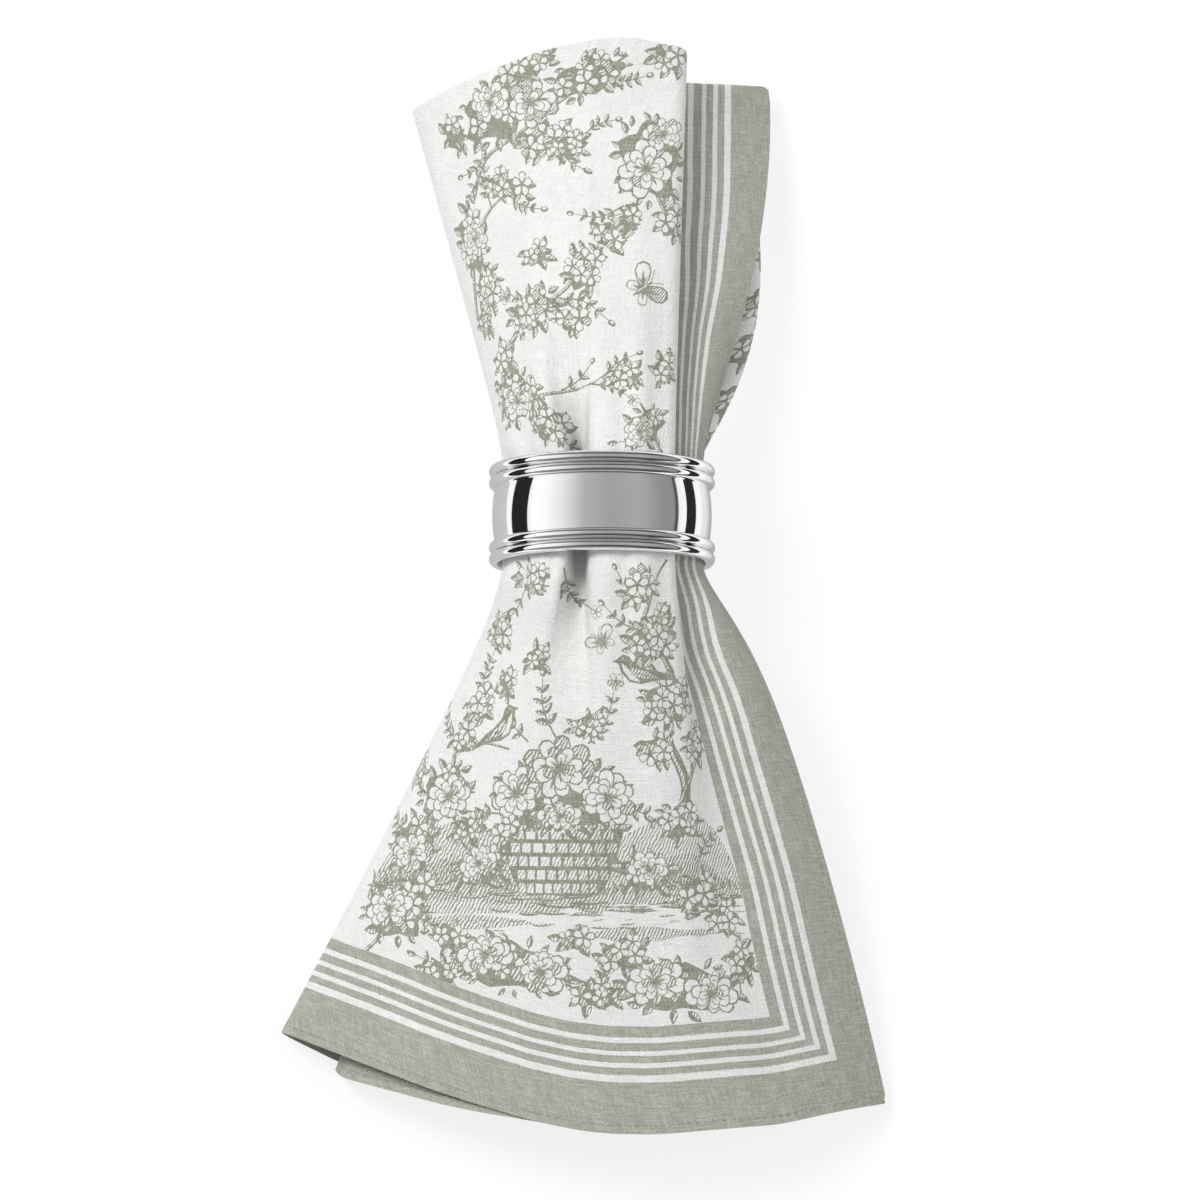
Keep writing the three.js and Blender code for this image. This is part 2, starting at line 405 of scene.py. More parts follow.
class Layout:
    """Where the print's motifs stand: complex numbers in mm from the middle of the ring.

    A stem is its points, and its width at both ends. A sprig is its base, its reach, its pairs of
    leaves, their length, its bend, and what it ends in. A cluster is its middle, width, height,
    turn, and numbers of leaves and flowers. A hill is the points of its closed outline and its
    ink. Fillers are smaller clusters drawn over the rest, and the strip holds the middles of those
    on the fold beside the border. A peony is its middle, radius, turn and squash. The ground is
    its two ends, depth and number of tufts, the basket its foot, width and height. A bird is its
    middle, size, turn and the side it looks to, a butterfly its middle, size and turn.
    """

    STEMS = (
        ((-31.6+66.5j, -27.4+76.0j, -17.3+81.7j, -6.7+89.3j, 5.5+97.7j), 1.1, 0.5),
        ((-34.5+41.3j, -32.0+56.0j, -26.1+65.5j, -16.8+70.3j), 1.3, 0.4),
        ((-26.9+20.2j, -23.6+34.5j, -15.2+42.3j, -7.6+47.6j, -1.7+54.9j), 1.7, 0.5),
        ((-25.7+18.1j, -15.2+24.4j, -3.6+26.9j, 5.5+32.8j), 1.1, 0.3),
        ((18.5+57.1j, 12.6+65.5j, 9.3+77.1j, 11.2+83.4j), 1.1, 0.5),
        ((14.7+9.7j, 11.2+18.1j, 8.0+23.4j), 1.0, 0.5),
        ((13.9-36.6j, 8.0-27.2j, 10.1-17.7j, 14.7-9.3j), 1.5, 0.5),
        ((19.4-84.0j, 15.6-70.3j, 18.1-56.6j, 13.9-46.1j, 15.6-34.5j, 11.2-26.1j), 3.4, 1.2),
        ((16.8-59.8j, 21.1-51.4j, 23.2-46.1j), 1.3, 0.5),
        ((-45.1-80.8j, -43.4-70.3j, -36.6-59.8j, -34.5-48.2j, -29.5-38.7j), 2.0, 0.7),
        ((-37.1-59.8j, -42.9-57.7j, -45.7-52.4j), 1.0, 0.5),
        ((-34.9-49.7j, -27.8-47.6j, -20.2-48.8j), 1.0, 0.4),
        ((-54.1-91.4j, -44.6-84.0j, -32.0-82.9j), 1.0, 0.5),
        ((-34.1-94.5j, -17.3-92.4j, -0.4-98.7j), 1.0, 0.5),
        ((1.7-101.9j, 16.4-96.6j, 32.2-101.9j), 1.0, 0.5),
    )
    SPRIGS = (
        (-27.8+77.1j, -6.3-4.6j, 3, 2.6, 0.15, "bud"), (-29.5+71.2j, -3.8-5.5j, 2, 2.6, -0.1, "bud"),
        (-0.4+93.9j, 9.7-0.8j, 4, 2.7, -0.15, "bud"), (-3.6+80.8j, 6.3+2.9j, 3, 2.5, 0.1, "bud"),
        (-8.8+77.5j, 4.6-4.2j, 2, 2.6, -0.1, "leaf"), (4.6+65.3j, -10.5-1.7j, 4, 2.4, 0.15, "bud"),
        (8.0+66.5j, -5.5-3.4j, 2, 2.2, 0.1, "bud"), (-26.1+65.5j, -1.7+10.1j, 4, 3.0, 0.1, "leaf"),
        (-21.5+68.2j, 8.4-3.4j, 4, 2.6, -0.12, "bud"), (-31.6+53.5j, 7.6-6.3j, 3, 2.8, 0.2, "blossom"),
        (-32.8+47.6j, 2.9-8.8j, 3, 2.6, 0.1, "bud"), (-10.5+45.5j, 11.8-4.6j, 4, 2.7, 0.15, "bud"),
        (-1.7+54.3j, 1.7+5.1j, 2, 2.6, 0.0, "leaf"), (-15.2+42.3j, -10.1+5.1j, 3, 2.7, -0.1, "bud"),
        (-21.5+36.0j, -6.3-5.5j, 3, 2.4, 0.1, "bud"), (-2.5+27.4j, 8.4-2.9j, 3, 2.2, 0.1, "blossom"),
        (-8.8+26.1j, 6.3+5.5j, 2, 2.3, -0.1, "bud"), (0.0+28.6j, 7.2+5.1j, 3, 2.3, 0.1, "bud"),
        (-11.4+21.3j, 7.6-8.0j, 3, 2.4, -0.2, "bud"), (11.2+18.1j, -8.0-2.9j, 3, 2.5, 0.1, "leaf"),
        (13.1+26.5j, 1.3+7.2j, 3, 2.4, 0.1, "bud"), (-16.4-14.5j, 9.7-2.9j, 3, 2.6, 0.1, "bud"),
        (-8.8-10.9j, 6.3-8.8j, 3, 2.5, -0.2, "blossom"), (-19.4-15.6j, -6.7-7.2j, 3, 2.5, 0.1, "leaf"),
        (9.1-24.4j, -8.8+5.5j, 3, 2.6, 0.1, "bud"), (10.1-18.7j, -7.2+7.2j, 3, 2.4, 0.1, "bud"),
        (-29.5-38.7j, 2.1+10.5j, 4, 2.8, 0.1, "bud"), (-29.5-38.7j, 6.3+5.5j, 3, 2.6, -0.1, "bud"),
        (-34.1-47.2j, -7.2+6.7j, 4, 2.7, 0.1, "bud"), (-21.9-62.3j, -10.5-3.4j, 4, 3.0, -0.15, "leaf"),
        (3.8-61.5j, 9.3-4.2j, 3, 3.0, 0.15, "leaf"), (-9.7-46.3j, -2.9+12.6j, 4, 3.0, 0.1, "bud"),
        (-2.9-47.6j, 5.5+11.8j, 4, 3.0, -0.1, "blossom"),
        (-15.6-47.2j, -5.5+7.6j, 3, 2.8, 0.1, "leaf"), (-45.9-66.1j, -6.3+4.2j, 3, 2.7, 0.1, "bud"),
        (20.6-72.4j, 5.9+6.3j, 3, 2.7, 0.1, "bud"), (-42.5-84.0j, 8.4-5.5j, 3, 2.6, 0.1, "bud"),
        (-0.4-98.7j, 2.9+7.6j, 3, 2.7, 0.1, "bud"), (-32.0-93.5j, -9.7+1.3j, 3, 2.7, 0.1, "leaf"),
        (30.1-99.8j, 1.7+9.3j, 3, 2.7, 0.1, "bud"),
    )
    CLUSTERS = (
        (-24.0+85.9j, 23, 14, 0.35, 26, 3), (-2.9+93.1j, 19, 9, 0.4, 20, 5),
        (-11.4+79.2j, 14, 8, 0.1, 16, 6), (-16.8+95.6j, 16, 7, 0.3, 14, 4),
        (14.7+97.7j, 9, 8, 0.5, 11, 3), (-36.2+81.3j, 6, 9, 0.5, 10, 1),
        (10.1+74.9j, 15, 20, 0.2, 24, 2), (14.7+61.9j, 6, 8, 0.0, 9, 2),
        (-32.4+58.1j, 9, 17, 0.2, 17, 5), (-28.6+47.6j, 7, 9, 0.3, 10, 4),
        (-18.9+69.5j, 9, 4, -0.3, 9, 1), (-15.6+42.9j, 15, 9, 0.5, 18, 7),
        (-3.8+51.8j, 8, 11, -0.2, 13, 5), (-6.7+40.8j, 7, 5, -0.4, 9, 2),
        (-21.1+24.8j, 17, 12, -0.2, 22, 5), (-12.0+19.2j, 10, 8, -0.6, 12, 4),
        (-24.8+32.8j, 6, 7, 0.2, 9, 2), (9.7+18.5j, 11, 8, 0.2, 13, 2), (13.9+30.3j, 5, 7, 0.2, 8, 2),
        (-16.8-13.1j, 11, 7, -0.2, 13, 4), (8.0-15.2j, 9, 7, 0.6, 12, 4),
        (12.6-22.3j, 7, 6, 0.2, 9, 3), (-26.5-24.4j, 7, 8, 0.5, 10, 3),
        (11.2-26.1j, 13, 9, 0.3, 16, 6), (14.7-38.7j, 14, 11, 0.2, 18, 8),
        (21.9-47.6j, 9, 8, 0.8, 12, 4), (11.8-48.8j, 8, 7, 0.3, 10, 3),
        (-36.6-58.1j, 15, 12, 0.6, 18, 3), (-44.2-69.3j, 12, 13, 0.2, 17, 3),
        (-29.5-39.6j, 8, 7, 0.5, 10, 4), (-45.9-53.5j, 6, 8, 0.5, 9, 2),
        (-42.5-78.7j, 9, 7, 0.1, 10, 2), (-9.3-58.5j, 30, 16, 0.0, 32, 5),
        (-26.9-73.7j, 14, 9, 0.2, 16, 2), (9.1-74.5j, 13, 9, -0.2, 15, 2),
        (20.6-78.7j, 11, 8, 0.3, 13, 3), (-47.2-84.0j, 17, 11, -0.2, 20, 3),
        (-19.8-93.9j, 27, 12, -0.15, 26, 5), (-34.1-88.2j, 9, 6, -0.3, 9, 2),
        (17.3-98.7j, 28, 12, -0.05, 26, 5), (-1.7-99.8j, 11, 7, -0.1, 11, 3),
        (30.7-93.5j, 7, 9, 0.3, 9, 2),
    )
    HILLS = (
        ((-55-80j, -50-71j, -41-66j, -30-64j, -22-67j, -14-73j, -6-80j), 0.3),
        ((-12-80j, -2-71j, 8-65j, 17-62j, 26-66j, 33-80j), 0.3),
        ((-50-79j, -40-73j, -31-72j, -24-79j), 0.5), ((4-80j, 12-72j, 21-71j, 30-79j), 0.5),
        ((-43-85j, -30-83.4j, -14-85j, -28-86.6j), 0.36),
        ((-6-87.5j, 8-85.6j, 25-87j, 9-89j), 0.36),
    )
    FILLERS = (
        (4.5-91.5j, 11, 8, 0.2, 11, 4), (-36-96j, 10, 6, -0.2, 9, 2), (27-84.5j, 8, 8, 0.4, 9, 3),
        (-6-88.5j, 8, 5, -0.2, 8, 2), (-30-66j, 10, 7, 0.3, 10, 3), (17-64j, 11, 8, -0.2, 11, 4),
        (-21-66j, 7, 6, 0.2, 8, 2), (-3-44j, 8, 6, 0.1, 9, 3), (-33-47j, 7, 6, 0.4, 8, 2),
        (-7+78j, 9, 6, 0.2, 9, 3), (2+59j, 8, 6, -0.3, 9, 3), (-14+55j, 8, 5, 0.3, 9, 2),
        (6+62j, 5, 5, 0.1, 7, 1), (-24+70j, 8, 7, 0.2, 9, 3), (5+29j, 8, 5, 0.3, 9, 2),
        (-31+41j, 6, 7, 0.1, 8, 2), (-14-30j, 6, 6, 0.2, 8, 2), (-22-35j, 5, 5, 0.2, 6, 1),
    )
    STRIP = (-98+15j, -103+25j, -110+36j, -113+46j, -118+58j, -120+70j)
    PEONIES = (
        (-26.1+88.0j, 5.6, 0.3, 0.8), (-15.2+87.6j, 6.3, -0.5, 0.85), (9.3+73.3j, 6.8, 0.9, 0.9),
        (13.1+80.8j, 4.6, 0.2, 0.75), (-31.6+58.9j, 4.2, 0.5, 0.8), (-21.5+24.0j, 5.4, 0.1, 0.75),
        (8.0+17.3j, 4.2, 0.4, 0.75), (-18.5-58.1j, 6.8, 0.5, 0.85), (-8.8-52.6j, 7.8, -0.2, 0.85),
        (1.3-58.9j, 6.6, -0.6, 0.85), (-8.8-62.7j, 5.0, 0.1, 0.6), (-27.4-72.8j, 4.8, 0.3, 0.75),
        (9.7-73.7j, 4.6, -0.3, 0.75), (-35.8-58.9j, 6.0, 0.6, 0.85), (-44.2-70.7j, 5.2, 0.1, 0.8),
        (-48.8-82.5j, 6.2, 0.2, 0.7), (-25.3-91.8j, 6.6, 0.2, 0.7), (-13.1-95.2j, 6.4, -0.2, 0.75),
        (11.2-97.3j, 6.6, 0.3, 0.75), (23.2-99.8j, 6.4, -0.2, 0.7),
    )
    GROUND = (-53.1-77.5j, 31.6-79.2j, 10.0, 60)
    BASKET = (-8.8-79.2j, 27.0, 14.0)
    BIRDS = ((-23.2-44.6j, 8.5, 0.25, 1), (8.0-32.8j, 8.0, 0.1, -1))
    BUTTERFLIES = ((8.6+47.6j, 6.0, 0.6), (0.0-26.5j, 4.2, 2.2))
    BACK_ROWS = 9
    BACK_COLUMNS = 6

    @classmethod
    def back(cls) -> list[tuple[int, complex]]:
        """Numbers and middles of the clusters on the left fold and the back, in staggered rows.

        The rows' ends follow the cloth: they spread with the distance from the ring, faster on the
        skirt than on the top.

        Returns:
            The number of each place in its grid, which turns its cluster, and the middle.
        """
        places = []
        for number in range(cls.BACK_ROWS * cls.BACK_COLUMNS):
            row, column = divmod(number, cls.BACK_COLUMNS)
            at = complex(-60.0 - 21.0 * column + 8.0 * (row % 2), -98.0 + 22.5 * row)
            beyond = max(abs(at.imag) - 12.0, 0.0) * (0.95 if at.imag < 0 else 0.35)
            if -100.0 - beyond < at.real < -46.0 - 0.3 * beyond:
                places.append((number, at))
        return places


@dataclass
class FloralPrint:
    """The print as closed outlines, complex numbers in mm; each lies over those before it."""

    outlines: list[Array] = field(default_factory=list)
    inks: list[float] = field(default_factory=list)
    chance: np.random.Generator = field(default_factory=lambda: np.random.default_rng(11))

    def shape(self, outline: Array, ink: float) -> None:
        """Adds a closed outline, turned to run anticlockwise."""
        after = np.roll(outline, -1)
        area = np.sum(outline.real * after.imag - outline.imag * after.real)
        self.outlines.append(outline if area > 0 else outline[::-1])
        self.inks.append(ink)

    def wobble(self, amount: float) -> float:
        """A random number between minus and plus the amount."""
        return float(self.chance.uniform(-amount, amount))

    @staticmethod
    def curve(points: Sequence[complex], parts: int = 5) -> Array:
        """A smooth line through points (Catmull-Rom: cubic spans with slopes (next - last) / 2)."""
        p = np.array([2 * points[0] - points[1], *points, 2 * points[-1] - points[-2]])
        t = np.linspace(0.0, 1.0, parts, endpoint=False)[:, None]
        a, b, c, d = p[:-3], p[1:-2], p[2:-1], p[3:]
        spans = (b + (c - a) / 2 * t + (a - 2.5 * b + 2 * c - d / 2) * t ** 2
                 + (1.5 * (b - c) + (d - a) / 2) * t ** 3)
        return np.append(spans.T.ravel(), points[-1])

    def stem(self, points: Sequence[complex], start: float, end: float, parts: int = 5) -> Array:
        """A stem along a smooth line, with its width going from start to end."""
        line = self.curve(points, parts)
        way = np.gradient(line)
        way = way / np.abs(way) * 1j
        half = np.linspace(start, end, len(line)) / 2
        self.shape(np.concatenate([line - way * half, (line + way * half)[::-1]]), 0.9)
        if start > 0.7:
            near, far = line + way * half * 0.05, line + way * half * 0.6
            self.shape(np.concatenate([near[:-2], far[:-2][::-1]]), 0.25)
        return line

    def leaf(self, base: complex, way: complex, width: float = 0.25, bend: float = 0.06) -> None:
        """A pointed leaf from its base along way; half-width sin(pi t^0.85), one half hatched."""
        t = np.linspace(0.0, 1.0, 5)
        rise = 1j * width * np.sin(np.pi * t ** 0.85)
        middle = t + 1j * bend * np.sin(np.pi * t)
        self.shape(base + way * np.concatenate([middle - rise, (middle + rise)[-2:0:-1]]), 0.95)
        if abs(way) > 2.0:
            half = np.concatenate([middle[[1, 3]], (middle + rise * 0.8)[3:0:-1]])
            self.shape(base + way * half, 0.3)

    def petal(self, base: complex, way: complex, width: float = 0.42, points: int = 10,
              strokes: bool = True) -> None:
        """A rounded petal: dark edge, pale or hatched inside, and strokes fanning from the base."""
        angle = np.linspace(0.0, 2 * np.pi, points, endpoint=False)
        x = 0.5 - 0.5 * np.cos(angle)
        outline = x - 1j * width * np.sin(angle) * (0.5 + 0.6 * x)
        self.shape(base + way * outline, 0.85)
        inside = 0.05 if self.chance.uniform(0, 1) < 0.78 else 0.42
        self.shape(base + way * (0.56 + (outline - 0.56) * 0.83), inside)
        if strokes:
            fan = np.array([0.05, 0.55 - 0.25j, 0.3 - 0.08j, 0.7, 0.3 + 0.08j, 0.55 + 0.25j])
            self.shape(base + way * fan, 0.8)

    def peony(self, at: complex, radius: float, turn: float = 0.0, squash: float = 0.82) -> None:
        """A full flower: three rings of petals, each over the last, round a dotted middle."""
        for count, reach, width in ((9, 1.0, 0.36), (7, 0.74, 0.4), (5, 0.48, 0.44)):
            for k in range(count):
                angle = 2 * math.pi * (k + self.wobble(0.2)) / count + reach * 3
                size = radius * reach * (1 + self.wobble(0.1))
                way = complex(math.cos(angle), squash * math.sin(angle))
                way *= size * complex(math.cos(turn), math.sin(turn))
                self.petal(at + way * 0.1, way * 0.9, width)
        dots = np.exp(1j * np.arange(6) * math.pi / 3)
        self.shape(at + radius * 0.13 * dots, 0.9)

    def blossom(self, at: complex, radius: float, turn: float = 0.0) -> None:
        """A small flower: a dark five-lobed shape, five pale petals on it, and a dark middle."""
        round_five = np.exp(2j * np.pi * (np.arange(5) / 5) + 1j * turn)
        lobes = np.array([0.5 * np.exp(-0.62j), 0.92 * np.exp(-0.42j), 1.0 * np.exp(-0.14j),
                          1.0 * np.exp(0.18j), 0.9 * np.exp(0.44j)])
        self.shape(at + radius * (round_five[:, None] * lobes).ravel(), 0.88)
        inside = np.array([0.15, 0.54 - 0.27j, 0.87 - 0.22j, 0.94, 0.85 + 0.25j, 0.52 + 0.27j])
        for way in round_five:
            pale = 0.05 if self.chance.uniform(0, 1) < 0.8 else 0.4
            self.shape(at + radius * way * inside, pale)
        self.shape(at + radius * 0.2 * np.exp(0.4j * np.pi * np.arange(5)), 0.9)

    def bud(self, base: complex, way: complex) -> None:
        """A closed bud: an oval with a pale highlight."""
        angle = np.linspace(0.0, 2 * np.pi, 8, endpoint=False)
        outline = 0.5 - 0.5 * np.cos(angle) - 0.34j * np.sin(angle)
        self.shape(base + way * outline, 0.9)
        self.shape(base + way * (0.5 + 0.1j + (outline - 0.5) * 0.45), 0.05)

    def sprig(self, base: complex, way: complex, pairs: int, size: float, bend: float = 0.12,
              ends: str = "leaf") -> None:
        """A bent twig with leaves on both sides and a leaf, bud or blossom at its end."""
        line = self.stem([base, base + way * (0.5 + 1j * bend), base + way], 0.4, 0.16, 3)
        for k in range(pairs):
            share = 0.22 + 0.7 * k / pairs
            spot = share * (len(line) - 1)
            low = int(spot)
            at = line[low] + (line[low + 1] - line[low]) * (spot - low)
            heading = line[low + 1] - line[low]
            heading /= abs(heading)
            for side in (-1, 1):
                angle = side * (0.85 + self.wobble(0.2))
                length = size * (1.05 - 0.4 * share) * (1 + self.wobble(0.15))
                self.leaf(at, heading * length * complex(math.cos(angle), math.sin(angle)),
                          0.24, -0.08 * side)
        heading = (line[-1] - line[-2]) / abs(line[-1] - line[-2])
        if ends == "leaf":
            self.leaf(line[-1], heading * size)
        elif ends == "bud":
            self.bud(line[-1], heading * size * 0.7)
        else:
            self.blossom(line[-1] + heading * size * 0.4, size * 0.62, self.wobble(1.0))

    def cluster(self, at: complex, width: float, height: float, turn: float, leaves: int,
                flowers: int, size: float = 3.4, flower: float = 2.3) -> None:
        """Foliage in an oval: a dark lobed heart, a rim of leaves, and small flowers on top.

        The heart's radius is 0.8 + 0.14 sin(5 angle) of the oval's.
        """
        tilt = complex(math.cos(turn), math.sin(turn))
        angle = np.linspace(0.0, 2 * np.pi, 20, endpoint=False)
        lobes = 0.8 + 0.14 * np.sin(5 * angle + turn * 7)
        oval = width / 2 * np.cos(angle) + 0.5j * height * np.sin(angle)
        self.shape(at + tilt * oval * lobes, 0.8)
        for k in range(leaves):
            share = 0.95 if k % 3 else 0.5
            place = 2 * math.pi * (k + self.wobble(0.3)) / leaves * (1 if k % 3 else 2.3)
            out = complex(width / 2 * math.cos(place), height / 2 * math.sin(place))
            way = out / abs(out) * np.exp(1j * self.wobble(0.6)) * tilt
            length = size * (0.9 + self.wobble(0.3))
            self.leaf(at + out * share * tilt - way * length * 0.45, way * length,
                      0.27 + self.wobble(0.05), self.wobble(0.1))
        for k in range(flowers):
            share = 0.72 * math.sqrt((flowers - k - 0.4) / flowers)
            place = 2.39996 * k + 0.9 + self.wobble(0.3)
            spot = complex(width / 2 * share * math.cos(place), height / 2 * share * math.sin(place))
            self.blossom(at + spot * tilt, flower * (1 + self.wobble(0.2)), self.wobble(1.5))

    def butterfly(self, at: complex, size: float, turn: float) -> None:
        """Four outlined wings on a thin body with feelers."""
        way = size * complex(math.cos(turn), math.sin(turn))
        for side in (-1, 1):
            for angle, length in ((2.2, 0.62), (0.95, 1.0)):
                wing = way * length * complex(math.cos(angle), side * math.sin(angle))
                self.petal(at, wing, 0.36)
            tip = at + way * complex(0.75, side * 0.32)
            self.stem([at + way * 0.3, at + way * complex(0.5, side * 0.1), tip], 0.2, 0.16, 2)
        self.leaf(at - way * 0.45, way * 0.9, 0.09, 0.0)

    def bird(self, at: complex, size: float, turn: float, side: int = 1) -> None:
        """A perched bird: body, tail, folded wing with feather strokes, and beak."""
        way = size * complex(math.cos(turn), math.sin(turn))

        def placed(points: list[complex]) -> Array:
            """Local points set on the picture, mirrored if the bird looks left."""
            line = np.array(points)
            line = line if side > 0 else -line.conjugate()
            return at + way * line

        body = [0.0 - 0.3j, 0.3 - 0.22j, 0.5 + 0.05j, 0.56 + 0.3j, 0.72 + 0.36j, 0.57 + 0.42j,
                0.42 + 0.52j, 0.26 + 0.46j, 0.12 + 0.24j, -0.2 + 0.06j, -0.5 - 0.02j,
                -0.95 - 0.2j, -1.0 - 0.32j, -0.5 - 0.24j]
        self.shape(placed(body), 0.9)
        breast = [0.02 - 0.24j, 0.28 - 0.16j, 0.43 + 0.08j, 0.48 + 0.3j, 0.36 + 0.2j, 0.2 - 0.02j]
        self.shape(placed(breast), 0.08)
        wing = [0.22 + 0.16j, 0.24 - 0.04j, -0.05 - 0.16j, -0.55 - 0.2j, -0.15 + 0.02j]
        self.shape(placed(wing), 0.45)
        self.shape(placed([0.16 + 0.02j, -0.4 - 0.17j, -0.08 - 0.1j]), 0.95)
        self.shape(placed([0.4 + 0.4j, 0.46 + 0.4j, 0.43 + 0.45j]), 0.0)

    def basket(self, at: complex, width: float, height: float) -> None:
        """A woven bowl: staggered canes between dark gaps and a plaited rim."""
        rise = np.linspace(0.0, 1.0, 5)
        side = width * (0.27 + 0.23 * np.sqrt(rise)) + 1j * height * rise
        self.shape(at + np.concatenate([side, -side[::-1].conjugate()]), 0.9)
        rows, columns = 5, 9
        for row in range(rows):
            low, high = (row + 0.16) / rows, (row + 0.86) / rows
            spread = width * (0.26 + 0.23 * math.sqrt((row + 0.5) / rows))
            for k in range(columns):
                left = (k + 0.08 + 0.5 * (row % 2)) / (columns + 0.5) * 2 - 1
                right = (k + 0.86 + 0.5 * (row % 2)) / (columns + 0.5) * 2 - 1
                cane = np.array([left + 1j * low, right + 1j * low, right + 1j * high,
                                 left + 1j * high])
                light = 0.05 + 0.6 * abs(left * 0.6 + 0.3)
                self.shape(at + cane.real * spread + 1j * cane.imag * height, light)
        for k in range(13):
            self.leaf(at + complex((k / 12 - 0.5) * width * 1.04 - 1.2, height - 0.6), 2.4 + 1.2j, 0.32)

    def ground(self, start: complex, end: complex, depth: float, tufts: int) -> None:
        """Hatched ground with long flat strokes that thin out downward, and grass along its top.

        Its top line waves as 1.2 sin(9 share) mm over its length.
        """
        length = end - start
        share = np.linspace(0.0, 1.0, 25)
        top = start + length * share + 1.2j * np.sin(share * 9)
        low = top - 1j * depth * 0.42 * (0.5 + 0.5 * np.sin(share * 23) ** 2) * np.sin(np.pi * share)
        self.shape(np.concatenate([low, top[-2:0:-1]]), 0.42)
        for _ in range(int(tufts * 1.8)):
            along, down = self.chance.uniform(0, 1), self.chance.uniform(0, 1) ** 1.4
            middle = start + length * along - 1j * down * depth + 1.2j * math.sin(along * 9)
            reach = self.chance.uniform(3.0, 9.0) * (1.2 - down)
            self.leaf(middle - reach / 2, complex(reach, self.wobble(0.5)), 0.06, self.wobble(0.05))
        for k in range(tufts):
            along = (k + self.chance.uniform(0, 1)) / tufts
            root = start + length * along + 1.2j * math.sin(along * 9)
            for _ in range(3):
                lean, tall = self.wobble(0.7), self.chance.uniform(1.4, 3.6)
                self.leaf(root + self.wobble(0.8), tall * complex(math.sin(lean), math.cos(lean)),
                          0.1, self.wobble(0.2))

    def draw(self) -> None:
        """Draws the whole design: stems and ground first, then leaves, then flowers."""
        for stem in Layout.STEMS:
            self.stem(*stem)
        for hill, ink in Layout.HILLS:
            self.shape(self.curve(hill, 4), ink)
        self.ground(*Layout.GROUND)
        for sprig in Layout.SPRIGS:
            self.sprig(*sprig)
        self.basket(*Layout.BASKET)
        for cluster in Layout.CLUSTERS:
            self.cluster(*cluster)
        for peony in Layout.PEONIES:
            self.peony(*peony)
        for cluster in Layout.FILLERS:
            self.cluster(*cluster, size=3.2, flower=2.0)
        for at in Layout.STRIP:
            self.cluster(at, 7.5, 10.0, 0.3, 9, 2)
        for number, at in Layout.back():
            self.cluster(at, 11.0, 8.0, 0.4 * number, 4, 1)
        for bird in Layout.BIRDS:
            self.bird(*bird)
        for butterfly in Layout.BUTTERFLIES:
            self.butterfly(*butterfly)


@dataclass(frozen=True)
class FoldLine:
    """One fold line of the doubled cloth, measured in mm from the middle of the ring.

    hem and top are its ends, with z from the table; waist is its x and its height above the axis
    inside the ring. A pair of values is for the skirt and for the top: bow pushes the line
    sideways half-way out, flare does so close to the ring, and fade is how fast fold dies out.
    fold is the x and z of waist that a pleat or valley adds. settle is how fast the line sinks,
    and land the share of the way out where it touches down. inner is the inner sheet's shift
    sideways and its drop at the hem. turn marks the first line of a tight turn, crisp is the share
    of the usual rounding, steps the number of points on the line's arc, and spans the number of
    parts of the straight run after it.
    """

    hem: Triple
    waist: Pair
    top: Triple
    bow: Pair = (0.0, 0.0)
    fold: Pair = (0.0, 0.0)
    fade: Pair = (1.0, 1.0)
    settle: float = 1.5
    land: float = 1.0
    inner: Pair = (0.0, 0.0)
    flare: Pair = (0.0, 0.0)
    turn: bool = False
    crisp: float = 1.0
    steps: int = 4
    spans: int = 2


